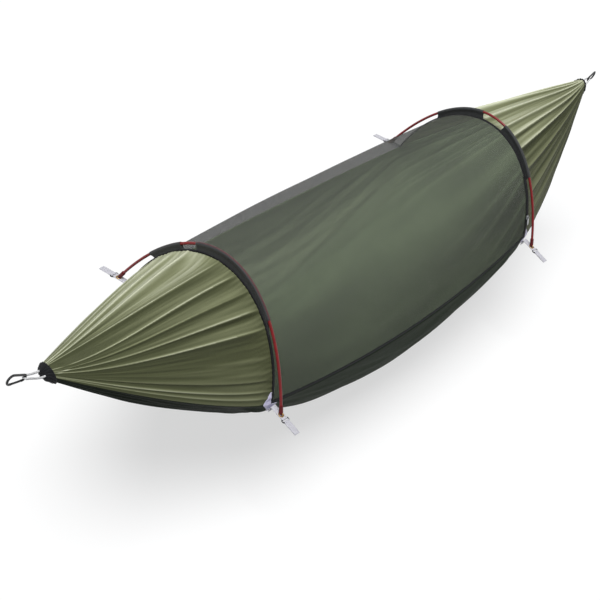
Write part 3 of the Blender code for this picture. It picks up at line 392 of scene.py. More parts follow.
def taffeta(name, colours, roughness, thread, gloss, sheen, tone="lift", relief=0.55):
    """Nylon taffeta: a thin, close plain weave with a soft sheen, crinkled where it was packed.
    Its colours are those of painted shade in the hollows, of the cloth, and of a painted highlight
    on the ridges. Tone names the attribute that tells them apart. The weave is drawn at several
    times its real spacing of 0.2 mm, so that it shows."""
    made, tree, shader, place, flat = blank(
        name, roughness, gloss, sheen_weight=sheen, sheen_roughness=0.4
    )
    lift = add(tree, "ShaderNodeAttribute", attribute_name=tone)
    ramp = add(tree, "ShaderNodeValToRGB", {"Fac": lift.outputs["Fac"]})
    stops = ramp.color_ramp.elements
    stops[0].color, stops[1].color = linear(colours[0]), linear(colours[2])
    stops.new(0.45).color = linear(colours[1])
    cloud = add(tree, "ShaderNodeTexNoise", {"Vector": place, "Scale": 7.0, "Detail": 4.0})
    fade = add(tree, "ShaderNodeMapRange", {"Value": cloud.outputs["Fac"], 3: 0.86, 4: 1.14})
    sockets = {0: ramp.outputs[0], "Scale": fade.outputs[0]}
    tint = add(tree, "ShaderNodeVectorMath", sockets, operation="SCALE")
    tree.links.new(tint.outputs[0], shader.inputs["Base Color"])
    sockets = {"Vector": place, "Scale": 34.0, "Detail": 5.0, "Distortion": 1.2}
    crinkle = add(tree, "ShaderNodeTexNoise", sockets)
    sockets = {0: weave(tree, flat, thread), 1: 0.10, 2: crinkle.outputs["Fac"]}
    height = add(tree, "ShaderNodeMath", sockets, operation="MULTIPLY_ADD")
    sockets = {"Height": height.outputs[0], "Strength": relief, "Distance": 0.0016}
    tree.links.new(add(tree, "ShaderNodeBump", sockets).outputs[0], shader.inputs["Normal"])
    return made


# Each set of colours runs from painted shade in the hollows, through the cloth, to a painted
# highlight on the ridges.
dark_green = ("#0c130a", "#1f2c19", "#2e3b26")
bed_nylon = taffeta("nylon_taffeta_dark_green", dark_green, 0.62, 0.0012, 0.05, 0.0)
in_shade = ("#232b1c", "#80926e", "#bccca4")
lining = taffeta(
    "nylon_taffeta_inner_face", in_shade, 0.62, 0.0012, 0.20, 0.1, "inner_lift", 0.06
)

x = np.linspace(-HALF_LENGTH, HALF_LENGTH, 301)[:, None]
b = np.linspace(-1.0, 1.0, 141)[None, :]
bed = bed_point(x, b)
girth = np.linalg.norm(np.diff(bed, axis=1), axis=-1).sum(1)[:, None]
start = BED_FOLD_START * HALF_LENGTH
reach = np.clip((np.abs(x) - start) / (HALF_LENGTH - start), 0.0, 1.0)
spread = np.random.default_rng(FOLD_SEED).uniform(-0.28, 0.28, BED_FOLDS + 1)
spread[[0, -1]] = 0.0
lines = -1.0 + 2.0 * (np.arange(BED_FOLDS + 1) + spread) / BED_FOLDS
sway = [0.03 * np.sin(3.0 * reach + 2.0 * i) * (abs(line) < 1) for i, line in enumerate(lines)]
ridges = [line + aside for line, aside in zip(lines, sway)]
grow = np.sin(math.pi * reach**0.8 / 2) ** 1.5
widths = [(after - before) / 2 * girth for before, after in zip(ridges[:-1], ridges[1:])]
depth, place = hollow(b + 0 * x, ridges, [BED_FOLD_DEEP * width * grow for width in widths])
edge_ease = 1.0 - np.abs(b) ** 10
soft = ripple(x, b * girth / 2, BED_WAVES, BED_SEED)
soft = (soft + highest(BED_WAVES)) * (1 - 0.6 * reach)
# The load lies to one side: the front bulges towards the right end and is drawn up at the left.
# Where the patches are sewn round the edge at the hoops, the cloth stays in its place.
swell = DRAWN_UP * hump(x, -0.74, 0.20) - BULGE * hump(x, 0.58, 0.60, 4)
held = hump(np.abs(x), HOOP_X, 0.06, 4) * np.clip((-b - 0.72) / 0.16, 0.0, 1.0)
lean = np.sin(math.pi * np.clip(-b, 0.0, 1.0) ** 1.5) * swell * (1.0 - held)
grid = sunk(bed, (depth + soft) * edge_ease + lean)
bed_piece = skin("bed_cloth", grid, bed_nylon, wall=BED_CLOTH)
# Outside, painted highlights make the fold ridges paler and the ripples add painted light and
# shade, and painted shade makes the front wall darker, most of all towards the left end.
shape = (np.abs(2 * place - 1) ** 4 - 0.35) * 0.5 * reach * edge_ease + soft * 12
front = np.clip((0.10 - b) / 0.6, 0.0, 1.0)
darker = 0.22 + 0.26 * np.clip((-x - 0.55) / 0.30, 0.0, 1.0)
point_value(bed_piece, "lift", BED_TONE + shape - darker * front)
# Inside, painted shade makes the cloth deepest where the front wall shades it, and a painted band
# of light makes it palest half up the back one. The outside's painted ridge highlights are added
# too.
turned = b + 0.22 * np.clip(x, 0.0, 1.0)
inner_tone = np.interp(turned, (-0.1, 0.0, 0.1, 0.2, 1.0), (0.11, 0.14, 0.24, 0.38, 0.42))
# Painted light: a pale band half up the back wall, fading out towards the right end.
band = hump(b, 0.74, 0.34, 4) * (1.0 - np.clip(x / 0.8, 0.0, 1.0))
point_value(bed_piece, "inner_lift", inner_tone + 0.50 * band + shape)
bed_piece.modifiers["wall"].material_offset = 1
bed_piece.data.materials.append(lining)
stands_for(bed_piece, "bed")


# The two end canopies: light olive nylon taffeta between a hoop and a gathered end. The cloth is
# pulled in at the gather, so crisp folds fan out from there and die against the hoop's seam.

SEAM_RISE = 0.034
SEAM_ANGLE = 72.0
TAPER_RISE = 1.30
NET_SAG = 0.004
EDGE_GAP = 0.0008
CANOPY_CLOTH = 0.0008
FOLD_WIDTH = 1.3  # of a fold, over its share of the line from the arch's foot to its top
FOLD_TURN = 2.4  # how late a ridge leaves its place at the hoop for that at the gather
FOLD_START = 0.05  # share of the canopy in which the folds grow from the hoop's seam
FOLD_LOWEST = 0.70  # where a hollow is deepest, from the ridge in front of it to the next
CANOPY_WAVES = [(0.80, 0.030, 0.0010), (0.45, 0.016, 0.0005), (0.30, 0.009, 0.0002)]
CANOPY_RUN = 0.63  # from the hoop to the gather, as the waves take it
CANOPY_HALF = 0.36  # from the top to an edge at the hoop, as the waves take it
PUCKER_HEIGHT = 0.0010
PUCKER_PITCH = 0.017
SIDES = {"left": -1, "right": 1}
WAVE_SEED = {"left": 21, "right": 34}
DEEPEST = {"left": 0.10, "right": 0.0}  # tone of the cloth in its deepest shade
HIGHLIGHT_WIDTH = {"left": 0.0060, "right": 0.0120}  # of the painted highlight along a ridge, at the hoop
CROWDED_SHADE = {"left": 0.38, "right": 0.34}  # painted shade: how much darker the hollows are where the folds crowd
# Each fold's ridge line: its place on the arch at the hoop and at the gather, from -1 at the front
# edge through 0 on top to 1; the depth of the hollow after it, as a share of that hollow's width;
# and how strong the painted highlight on the ridge and the painted shade just in front of it are,
# up to 1.
FOLDS = {
    "left": [
        (-1.000, -1.00, 0.16, 0.2),
        (-0.960, -0.95, 0.20, 0.8),
        (-0.915, -0.91, 0.22, 0.9),
        (-0.840, -0.84, 0.11, 0.3),
        (-0.510, -0.72, 0.22, 1.0),
        (-0.380, -0.63, 0.17, 1.0),
        (-0.240, -0.56, 0.17, 0.4),
        (-0.090, -0.47, 0.17, 0.9),
        (0.075, 0.02, 0.20, 0.7),
        (0.360, 0.14, 0.20, 1.0),
        (0.500, 0.30, 0.14, 0.8),
        (0.640, 0.50, 0.14, 0.3),
        (0.780, 0.78, 0.16, 0.6),
        (0.920, 0.94, 0.14, 0.3),
        (1.000, 1.00, 0.00, 0.0),
    ],
    "right": [
        (-1.000, -1.00, 0.14, 0.0),
        (-0.850, -0.93, 0.12, 0.2),
        (-0.690, -0.85, 0.12, 0.3),
        (-0.500, -0.70, 0.20, 0.3),
        (-0.320, -0.52, 0.22, 1.0),
        (-0.190, -0.38, 0.18, 0.7),
        (-0.070, -0.27, 0.16, 0.6),
        (0.130, -0.08, 0.22, 0.9),
        (0.420, 0.06, 0.20, 0.9),
        (0.700, 0.36, 0.16, 0.5),
        (0.870, 0.72, 0.16, 0.3),
        (1.000, 1.00, 0.00, 0.0),
    ],
}
# Painted light and shade between the ridges: places on the arch, and the tone at each. The top
# is painted paler, as light falls on it, and the front edge darker, in painted shade.
PAINTED_LIGHT = {
    "left": [(-1.0, -0.9, -0.6, -0.48, 0.06, 0.3, 1.0), (0.08, 0.08, 0.02, 0.12, 0.22, 0.68, 0.52)],
    "right": [(-1.0, -0.40, -0.28, 0.0, 0.4, 1.0), (0.0, 0.02, 0.32, 0.46, 0.70, 0.74)],
}


def arch_top(x):
    """Height of the net's and the canopies' top line."""
    inside = SEAM_RISE - NET_SAG * (1.0 - to_hoop(x) ** 2)
    outside = GATHER_RADIUS + (SEAM_RISE - GATHER_RADIUS) * (1.0 - past_hoop(x) ** TAPER_RISE)
    return BED_DEPTH + np.where(np.abs(x) <= HOOP_X, inside, outside)


def arch_point(x, s):
    """Net or canopy at x; s runs from -1 at the front edge through 0 on top to 1.
    The section is a circle's arc, stretched to the edges' width and to the arch's height."""
    x, s = np.broadcast_arrays(x, s)
    half = math.radians(SEAM_ANGLE)
    y = edge_half_width(x) * np.sin(s * half) / math.sin(half)
    top, foot = arch_top(x), edge_height(x)
    fall = (1.0 - np.cos(s * half)) / (1.0 - math.cos(half))
    return np.stack([x, y, top - (top - foot) * fall], -1)


def canopy_sink(name, x, s):
    """Depth of a canopy's folds under its smooth arch, and the cloth's tone, which is painted light
    and shade. Each fold slopes gently up to the next ridge in front and drops steeply from its own,
    where its painted shade lies."""
    k = past_hoop(x)
    arc = FOLD_WIDTH * np.hypot(edge_half_width(x), arch_top(x) - edge_height(x))
    folds = FOLDS[name]
    ridges = [start + (end - start) * k**FOLD_TURN for start, end, _, _ in folds]
    widths = [(after - before) * arc for before, after in zip(ridges[:-1], ridges[1:])]
    grow = (1 - np.exp(-k / FOLD_START)) * (1.0 - 0.25 * k)
    depths = [fold[2] * width * grow for fold, width in zip(folds, widths)]
    depth, place = hollow(s, ridges, depths, FOLD_LOWEST)
    crest, shade, at_hoop = np.zeros((3, *s.shape))
    # Painted highlight along each ridge, and painted shade just in front of the next ridge.
    band = HIGHLIGHT_WIDTH[name] * (1.0 - 0.6 * k)
    for i, width in enumerate(widths):
        inside = (s >= ridges[i]) & (s <= ridges[i + 1])
        before, after = folds[i][3], folds[i + 1][3]
        rise = before * hump(place * width, 0.0, band)
        rise += after * hump((1 - place) * width, 0.0, 0.5 * band)
        low = after * hump(place, 0.84, 0.16) - 0.30 * (1 - place)
        start = folds[i][0] + (folds[i + 1][0] - folds[i][0]) * place
        crest, shade = np.where(inside, rise, crest), np.where(inside, low, shade)
        at_hoop = np.where(inside, start, at_hoop)
    fine = ripple(k * CANOPY_RUN, at_hoop * CANOPY_HALF, CANOPY_WAVES, WAVE_SEED[name])
    ease = (1 - np.exp(-k / 0.03)) * (1 - np.abs(s) ** 12) * (1 - k**4)
    pucker = 1 + np.sin(s * arc * 2 * math.pi / PUCKER_PITCH + 3 * np.sin(9 * s))
    pucker = PUCKER_HEIGHT * pucker * np.exp(-k / 0.045) * (1 - np.exp(-k / 0.006))
    # Painted light on the top and painted shade on the front, then the folds' painted highlights
    # and shade, and painted shade in the fine ripples and puckers.
    tone = np.interp(s, *PAINTED_LIGHT[name])
    tone += (0.50 * crest - 0.36 * shade) * grow - 90 * fine * ease - 60 * pucker + 0.06
    # Painted shade deepens the hollows towards the gather, away from the ridges' highlights.
    tone -= CROWDED_SHADE[name] * k**2 * (1 - np.clip(2 * crest, 0.0, 1.0))
    depth = depth * (1 - np.abs(s) ** 24)
    if name == "left":  # a loose fold rolls over beside the gather, with a hollow behind it: a painted highlight on its lip, painted shade in the hollow
        dent = hump(k, 0.935, 0.024) * hump(s, 2.8 * (k - 0.935) - 0.33, 0.12)
        lip = hump(k, 0.945, 0.030, 4) * hump(s, -3.0 * (k - 0.91) - 0.50, 0.035)
        depth += 0.0035 * dent
        tone += 0.45 * lip - 0.50 * dent
    return depth + (fine + highest(CANOPY_WAVES)) * ease + pucker, tone


def canopy_point(name, x, s):
    """The folded canopy's outer face."""
    x, s = np.broadcast_arrays(x, s)
    points = sunk(arch_point(x, s), canopy_sink(name, x, s)[0])
    points[..., 2] += EDGE_GAP * np.abs(s) ** 8
    return points


olive = ("#33371f", "#7b7f60", "#d2d5bb")
olive_nylon = taffeta("nylon_taffeta_olive", olive, 0.55, 0.0011, 0.12, 0.0)

for name, side in SIDES.items():
    share = np.linspace(0.0, 1.0, 121) ** 1.15
    edge = HOOP_X + BINDING_WIDTH / 2 + SEAT_GAP
    x = side * (edge + (HALF_LENGTH - edge) * share)[:, None]
    x, s = np.broadcast_arrays(x, np.linspace(-1.0, 1.0, 321))
    grid = canopy_point(name, x, s)
    piece = skin(f"canopy_cloth_{name}", grid, olive_nylon, wall=CANOPY_CLOTH)
    # The tone is the folds' painted light and shade.
    point_value(piece, "lift", np.clip(canopy_sink(name, x, s)[1], DEEPEST[name], 1.0))
    piece.visible_shadow = False  # thin nylon lets much of the light through to the bed
    stands_for(piece, f"canopy_{name}")


# The net: fine charcoal nylon mesh, stretched over the middle between the two hoop seams and the
# bed's edges. It sags a little between the hoops and pulls in faint creases from its corners.

ZIP_WIDTH = 0.010
NET_CLOTH = 0.0005
NET_HALF = 0.34  # from the top to an edge along a hoop
NET_WAVES = [(1.1, 0.11, 0.0011), (0.55, 0.06, 0.0005)]
NET_SEED = 3
NET_GATHER = 0.0005
NET_GATHER_PITCH = 0.021


def arch_metres(x):
    """Length of the arch for one unit of s at its foot."""
    step = 1e-4
    return np.linalg.norm(arch_point(x, 1.0) - arch_point(x, 1.0 - step), axis=-1) / step


def net_point(x, s):
    """The net: the arch, sunk by creases from the corners and by small gathers at the hoops."""
    x, s = np.broadcast_arrays(x, s)
    to_seam = HOOP_X - np.abs(x)
    creases = ripple(x, s * NET_HALF, NET_WAVES, NET_SEED) + highest(NET_WAVES)
    gathers = 1 + np.sin(s * NET_HALF * 2 * math.pi / NET_GATHER_PITCH + 2 * np.sin(7 * s))
    gathers = NET_GATHER * gathers * np.exp(-to_seam / 0.03)
    ease = (1 - np.exp(-to_seam / 0.015)) * (1 - np.abs(s) ** 14)
    return sunk(arch_point(x, s), (creases + gathers) * ease)


def net_mesh():
    """Knitted no-see-um net: black nylon thread with fine holes, dull and half clear. Its holes
    are 1 mm across, drawn at twice that, and the thread's grey is what the lamps make of it."""
    made, tree, shader, _, flat = blank(
        "nylon_net_charcoal", 0.85, 0.2, base_color=linear("#484947")
    )
    sockets = {"Value": weave(tree, flat, 0.0022), 1: 0.0, 2: 2.0, 3: 0.39, 4: 0.53}
    cover = add(tree, "ShaderNodeMapRange", sockets)
    tree.links.new(cover.outputs[0], shader.inputs["Alpha"])
    return made


edge = HOOP_X - BINDING_WIDTH / 2 - SEAT_GAP
x = np.linspace(-edge, edge, 201)[:, None]
front = (ZIP_WIDTH + EDGE_GAP + SEAT_GAP) / arch_metres(x)
behind = EDGE_GAP / arch_metres(x)
s = -1.0 + front + (2.0 - front - behind) * np.linspace(0.0, 1.0, 121)[None, :]
net = skin("net_cloth", net_point(x, s), net_mesh(), wall=NET_CLOTH)
net.visible_shadow = False  # its threads scatter the light on, and hardly shade the bed
stands_for(net, "mosquito_net")


# Binding tapes: black twill tape folded over each hoop seam, with the net on one side and the
# canopy on the other, sewn down with two rows of black thread.

TAPE_HALF = 0.0040
TAPE_OVER = 0.0007  # how far it stands over the cloth
TAPE_UNDER = 0.0030
TAPE_ROWS = 0.0026  # from the tape's middle to each row of stitches
TAPE_STITCH = 0.0045
TWILL_RIBS = 0.0016
ALONG = np.array([1.0, 0.0, 0.0])  # the hammock's length
# A stitch's rings: place along it from -0.5 to 0.5, and radius and height in the thread's radii.
STITCH_RINGS = np.array(
    [(-0.5, 0.15, -0.9), (-0.36, 0.9, 0.1), (0.0, 1.0, 0.5), (0.36, 0.9, 0.1), (0.5, 0.15, -0.9)]
)
STITCH_SHARE = 0.72  # of the pitch that a stitch fills


def arch_out(x, s):
    """Outward direction of the arch in the plane across the hammock."""
    step = 1e-4
    x, s = np.broadcast_arrays(x, s)
    along = arch_point(x, np.minimum(s + step, 1.0)) - arch_point(x, np.maximum(s - step, -1.0))
    return unit(np.stack([np.zeros_like(x), -along[..., 2], along[..., 1]], -1))


def swept(path, across, out, outline):
    """A grid of an outline of (across, out) points, carried along a path."""
    across, out = (np.broadcast_to(way, path.shape)[:, None] for way in (across, out))
    return path[:, None] + across * outline[:, :1] + out * outline[:, 1:]


def rounded(half, low, high, corner):
    """Outline of a rectangle with round corners, from low to high and half to each side: a quarter
    of a circle round each corner's middle in turn."""
    turns = np.radians(np.linspace(0.0, 90.0, 4) + 90.0 * np.arange(4)[:, None])
    x0 = (half - corner) * np.array([1, -1, -1, 1])[:, None]
    y0 = np.array([high - corner, high - corner, low + corner, low + corner])[:, None]
    loop = np.stack([x0 + corner * np.cos(turns), y0 + corner * np.sin(turns)], -1)
    return loop.reshape(-1, 2)


def travelled(path):
    """Distance along a path to each of its points."""
    return np.concatenate([[0.0], np.cumsum(np.linalg.norm(np.diff(path, axis=0), axis=1))])


def spaced(at, done, rows):
    """Rows that lie at the distances done, read in between at other distances."""
    return np.stack([np.interp(at, done, column) for column in rows.T], -1)


def stitch_row(path, out, pitch, thread=0.00035):
    """Threads along a path, each a short bead that dips into the cloth at its ends.
    Gives an array of (stitches, rings, sides, 3)."""
    done = travelled(path)
    at = np.arange(pitch / 2, done[-1], pitch)
    centre, up = spaced(at, done, path), spaced(at, done, out)
    way = unit(spaced(at + pitch / 4, done, path) - spaced(at - pitch / 4, done, path))
    side = np.cross(way, up)
    centre, up, way, side = (row[:, None, None] for row in (centre, up, way, side))
    turns = np.radians(np.arange(6) * 60.0)[:, None]
    along, radius, height = (STITCH_RINGS[:, None, k, None] for k in range(3))
    ring = (side * np.cos(turns) + up * np.sin(turns)) * radius * thread
    return centre + way * along * pitch * STITCH_SHARE + ring + up * height * thread


def threads(name, rows, material, body="hammock"):
    """One piece of all the stitches of several rows: quads between their rings, and flat ends."""
    beads = np.concatenate(rows)
    count, rings, sides = beads.shape[:3]
    i, j = np.indices((rings - 1, sides)).reshape(2, -1)
    k = (j + 1) % sides
    quads = np.stack([i * sides + j, i * sides + k, (i + 1) * sides + k, (i + 1) * sides + j], -1)
    ends = np.array([range(sides)[::-1], range((rings - 1) * sides, rings * sides)])
    first = np.arange(count)[:, None, None] * rings * sides
    faces = (quads + first).reshape(-1, 4).tolist() + (ends + first).reshape(-1, sides).tolist()
    mesh = bpy.data.meshes.new(name)
    mesh.from_pydata(beads.reshape(-1, 3).tolist(), [], faces)
    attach(piece_of(name, mesh, material), body)


def sewing_thread(name, code):
    """Bonded polyester sewing thread: twisted, with a dull gloss."""
    made, tree, shader, place, _ = blank(name, 0.5, base_color=linear(code))
    spin = add(tree, "ShaderNodeTexNoise", {"Vector": place, "Scale": 900.0})
    sockets = {"Height": spin.outputs["Fac"], "Strength": 0.3, "Distance": 0.0002}
    tree.links.new(add(tree, "ShaderNodeBump", sockets).outputs[0], shader.inputs["Normal"])
    return made


def coloured(tree, shader, tone, low, high, height, strength, distance):
    """Gives a shader a colour between two by a tone, and fine relief from a height."""
    mix = add(tree, "ShaderNodeMix", {0: tone, 6: linear(low), 7: linear(high)}, data_type="RGBA")
    tree.links.new(mix.outputs[2], shader.inputs["Base Color"])
    sockets = {"Height": height, "Strength": strength, "Distance": distance}
    tree.links.new(add(tree, "ShaderNodeBump", sockets).outputs[0], shader.inputs["Normal"])
    return mix.outputs[2]


def twill():
    """Woven black tape: slanted twill ribs, dull, with a painted highlight that makes it a little
    lighter on the ribs than between.
    """
    made, tree, shader, _, flat = blank("twill_tape_black", 0.8, 0.15)
    slant = add(tree, "ShaderNodeMapping", {"Vector": flat, "Rotation": (0.0, 0.0, 0.9)})
    sockets = {"Vector": slant.outputs[0], "Scale": BANDS / TWILL_RIBS, "Distortion": 0.4}
    ribs = add(tree, "ShaderNodeTexWave", sockets).outputs["Fac"]
    coloured(tree, shader, ribs, "#0b0b0d", "#1b1c1f", ribs, 0.6, 0.0004)
    return made


black_twill = twill()
black_thread = sewing_thread("sewing_thread_black", "#1c1c1f")

for name, side in SIDES.items():
    trim = (EDGE_GAP + 0.5 * TAPE_UNDER) / float(arch_metres(HOOP_X))
    s = np.linspace(-1.0 + trim, 1.0 - trim, 240)
    x = np.full(s.shape, side * HOOP_X)
    path, out = arch_point(x, s), arch_out(x, s)
    grid = swept(path, ALONG, out, rounded(TAPE_HALF, -TAPE_UNDER, TAPE_OVER, 0.0006))
    piece = skin(f"binding_tape_{name}", grid, black_twill, caps=True)
    stands_for(piece, f"binding_{name}")
    top = path + out * TAPE_OVER
    rows = [stitch_row(top + ALONG * w, out, TAPE_STITCH) for w in (-TAPE_ROWS, TAPE_ROWS)]
    threads(f"binding_stitches_{name}", rows, black_thread)


# The two hoop poles: 8 mm rods bent over the hammock, lacquered dark red with a hard gloss.

POLE_RADIUS = 0.004
POLE_HALF_WIDTH = 0.298
POLE_RISE = 0.060
POLE_DROP = 0.238
POLE_ANGLE = 46.4


def pole_point(s):
    """Centre line of a pole in the YZ plane, from s = -1 at the front foot to 1: a circle's arc,
    stretched to the feet's width and the hoop's height."""
    half = math.radians(POLE_ANGLE)
    share = (1.0 - np.cos(s * half)) / (1.0 - math.cos(half))
    y = POLE_HALF_WIDTH * np.sin(s * half) / math.sin(half)
    return np.stack([y, BED_DEPTH + POLE_RISE - (POLE_RISE + POLE_DROP) * share], -1)


def pole_frame(s):
    """Place, direction and outward normal of a pole, in the YZ plane."""
    step = 1e-4
    way = unit(pole_point(s + step) - pole_point(s - step))
    return pole_point(s), way, np.stack([-way[..., 1], way[..., 0]], -1)


def lacquer():
    """Red lacquer on a drawn aluminium rod: glossy, with faint drawing lines and rubbed spots."""
    made, tree, shader, place, flat = blank(
        "lacquered_rod_red", 0.36, 0.3, coat_weight=0.15, coat_roughness=0.2
    )
    rub = add(tree, "ShaderNodeTexNoise", {"Vector": place, "Scale": 55.0, "Detail": 3.0})
    lines = add(tree, "ShaderNodeTexNoise", {"Vector": flat, "Scale": 700.0})
    rub, lines = rub.outputs["Fac"], lines.outputs["Fac"]
    coloured(tree, shader, rub, "#5d060c", "#870b13", lines, 0.08, 0.0002)
    return made


red_lacquer = lacquer()
for name, side in SIDES.items():
    s = np.linspace(-1.0, 1.0, 161)
    place, _, out = pole_frame(s)
    path = np.column_stack([np.full(len(s), side * HOOP_X), place])
    out = np.column_stack([np.zeros(len(s)), out])
    turns = np.radians(np.arange(20) * 18.0)
    outline = POLE_RADIUS * np.column_stack([np.cos(turns), np.sin(turns)])
    piece = skin(f"hoop_pole_{name}", swept(path, ALONG, out, outline), red_lacquer, caps=True)
    stands_for(piece, f"pole_{name}")


# Pole sleeves: black nylon folded double round the pole, with both plies sewn into the hoop seam.
# Their ends are cut at a slant, and a white bar of stitches holds the lower point.

SLEEVE_WALL = 0.0005
SLEEVE_SEAM = 0.0007  # half thickness at the seam
SLEEVE_TUNNEL = 0.0052  # radius round the pole
SLEEVE_NECK = 0.007  # distance in which the plies close under the pole
SLEEVE_PUCKER = 0.0005
PUCKER_LENGTH = 0.045
# Side; stretch of the pole from first to last; how much further each end runs on at the seam; and
# how much red shows on the rim.
SLEEVES = {
    "sleeve_left_front": (-1, -0.510, 0.330, 0.110, 0.020, 0.55),
    "sleeve_left_back": (-1, 0.470, 0.735, 0.020, -0.015, 0.25),
    "sleeve_right_front": (1, -0.580, -0.110, 0.030, 0.010, 0.0),
    "sleeve_right_back": (1, 0.150, 0.590, 0.015, 0.030, 0.0),
}


def seam_distance(s):
    """Distance from the pole's centre line at s, square to it, down to the hoop seam."""
    place, _, out = pole_frame(s)
    seam = arch_point(HOOP_X, np.linspace(-1.0, 1.0, 1201))[:, 1:]
    ray = seam[None] - place[:, None]
    along = -(ray * out[:, None]).sum(-1)
    aside = np.abs(ray[..., 0] * out[:, None, 1] - ray[..., 1] * out[:, None, 0])
    return along[np.arange(len(s)), np.argmin(np.where(along > 0, aside, 1.0), 1)]


def sleeve_cloth():
    """Black nylon sleeve cloth: close weave, a grey bloom where light grazes it. On the rim the
    taut cloth lets the red pole show through."""
    made, tree, shader, place, flat = blank("nylon_sleeve_black", 0.7, sheen_weight=0.1)
    cloud = add(tree, "ShaderNodeTexNoise", {"Vector": place, "Scale": 22.0, "Detail": 3.0})
    cloud, cloth = cloud.outputs["Fac"], weave(tree, flat, 0.0011)
    black = coloured(tree, shader, cloud, "#17191a", "#232527", cloth, 0.3, 0.0003)
    rim = add(tree, "ShaderNodeAttribute", attribute_name="rim")
    sockets = {0: rim.outputs["Fac"], 6: black, 7: linear("#5c1c20")}
    mix = add(tree, "ShaderNodeMix", sockets, data_type="RGBA")
    tree.links.new(mix.outputs[2], shader.inputs["Base Color"])
    return made


black_sleeve = sleeve_cloth()
s_line = np.linspace(-1.0, 1.0, 201)
reach_line = seam_distance(s_line)
q = np.concatenate([np.linspace(1.0, 0.0, 14), -np.sin(np.radians(np.linspace(12, 90, 7)))])
q = np.concatenate([q, q[-2::-1]])  # up one ply, round the pole and back down the other
ply = np.where(np.arange(len(q)) < len(q) / 2, 1.0, -1.0)
inside = np.clip(q, 0.0, 1.0)
t = np.linspace(0.0, 1.0, 90)[:, None]
for name, (side, first, last, before, after, red) in SLEEVES.items():
    s = (first - before * inside**1.3) * (1 - t) + (last + after * inside**1.3) * t
    place, _, out = pole_frame(s)
    reach = np.interp(s, s_line, reach_line)
    down = np.where(q > 0, q * (reach + 0.002), q * SLEEVE_TUNNEL)
    flat_part = SLEEVE_SEAM + (SLEEVE_TUNNEL - SLEEVE_SEAM) * hump(down, 0.0, SLEEVE_NECK)
    round_part = np.sqrt(np.maximum(SLEEVE_TUNNEL**2 - np.minimum(down, 0) ** 2, 0.0))
    half = np.where(down > 0, flat_part, round_part)
    pucker = SLEEVE_PUCKER * np.sin(s * 2 * math.pi / PUCKER_LENGTH + 2 * np.sin(31 * s))
    x = side * HOOP_X + ply * half + pucker * inside**3
    grid = np.concatenate([x[..., None], place - out * down[..., None]], -1)
    piece = skin(f"{name}_cloth", grid, black_sleeve, around=True, wall=SLEEVE_WALL)
    point_value(piece, "rim", red * hump(down, -SLEEVE_TUNNEL, 0.0009))
    stands_for(piece, name)


# Reinforcement patches: pale lavender coated cloth, folded over the bed's edge at each pole foot,
# a triangle on the canopy and one on the bed. A row of stitches runs round each.

PATCH_WALL = 0.0008
PATCH_LIFT = 0.0004
PATCH_REACH = 0.030
PATCH_FALL = 0.026
PATCH_CLIMB = 0.038
PATCH_POINT = 0.0015
PATCH_STITCH = 0.0032
# Lines of the patch from its point on the bed to its point on the canopy: distance from the
# edge, and where the line starts and ends along the edge.
OUTBOARD = BINDING_WIDTH / 2 + SEAT_GAP + 0.0010
PATCH_LINES = np.array(
    [
        (-PATCH_FALL, OUTBOARD, OUTBOARD + 2 * PATCH_POINT),
        (-PATCH_FALL / 2, -PATCH_REACH / 3, PATCH_REACH * 0.55),
        (-0.0010, -PATCH_REACH * 0.7, PATCH_REACH),
        (0.0010, OUTBOARD, PATCH_REACH),
        (PATCH_CLIMB / 2, OUTBOARD, PATCH_REACH * 0.62),
        (PATCH_CLIMB, OUTBOARD, OUTBOARD + 2 * PATCH_POINT),
    ]
)
# Each pole foot: the end of the hammock on which it stands, and the bed's edge.
CORNERS = {
    "front_left": (-1, -1),
    "back_left": (-1, 1),
    "front_right": (1, -1),
    "back_right": (1, 1),
}


def over_edge(side, edge, distance, x):
    """A point of the bed or the canopy near the bed's edge: distance is how far it lies from the
    edge, under it on the bed when negative and over it on the canopy when positive."""
    depth = edge_height(x) - bed_bottom(x)
    b = 1.0 - np.arcsin(np.clip(-distance / depth, 0.0, 1.0)) * 2 / math.pi
    s = 1.0 - np.maximum(distance, 0.0) / arch_metres(x)
    name = "left" if side < 0 else "right"
    low, high = bed_point(side * x, edge * b), canopy_point(name, side * x, edge * s)
    return np.where((distance < 0)[..., None], low, high)


def coated():
    """Polyurethane coated polyester: stiff, pale, a fine grid of threads under a soft gloss."""
    made, tree, shader, place, flat = blank("coated_polyester_lavender", 0.45, sheen_weight=0.1)
    cloud = add(tree, "ShaderNodeTexNoise", {"Vector": place, "Scale": 60.0, "Detail": 4.0})
    cloud, cloth = cloud.outputs["Fac"], weave(tree, flat, 0.0012)
    coloured(tree, shader, cloud, "#bcb8da", "#d6d3ec", cloth, 0.25, 0.0003)
    return made


lavender = coated()
white_thread = sewing_thread("sewing_thread_white", "#d2d0d6")

for corner, (side, edge) in CORNERS.items():
    fine = np.linspace(0.0, len(PATCH_LINES) - 1.0, 46)
    lines = spaced(fine, np.arange(len(PATCH_LINES)), PATCH_LINES)
    distance, first, last = lines.T[..., None]
    t = np.linspace(0.0, 1.0, 22)[None, :]
    x = HOOP_X + first * (1 - t) + last * t
    grid = over_edge(side, edge, distance + 0 * x, x)
    rays = unit(grid - middle_of(grid))
    grid = grid + rays * (PATCH_LIFT + PATCH_WALL)
    piece = skin(f"patch_cloth_{corner}", grid, lavender, wall=PATCH_WALL)
    stands_for(piece, f"patch_{corner}")
    rows = [stitch_row(grid[:, k], rays[:, k], PATCH_STITCH) for k in (2, -3)]
    threads(f"patch_stitches_{corner}", rows, white_thread)


# Straps at the pole feet: white 20 mm polyester webbing, sewn down under the bed's edge, run out
# through the grommet to a ring and sewn back on itself. A pale tab hangs on each ring.

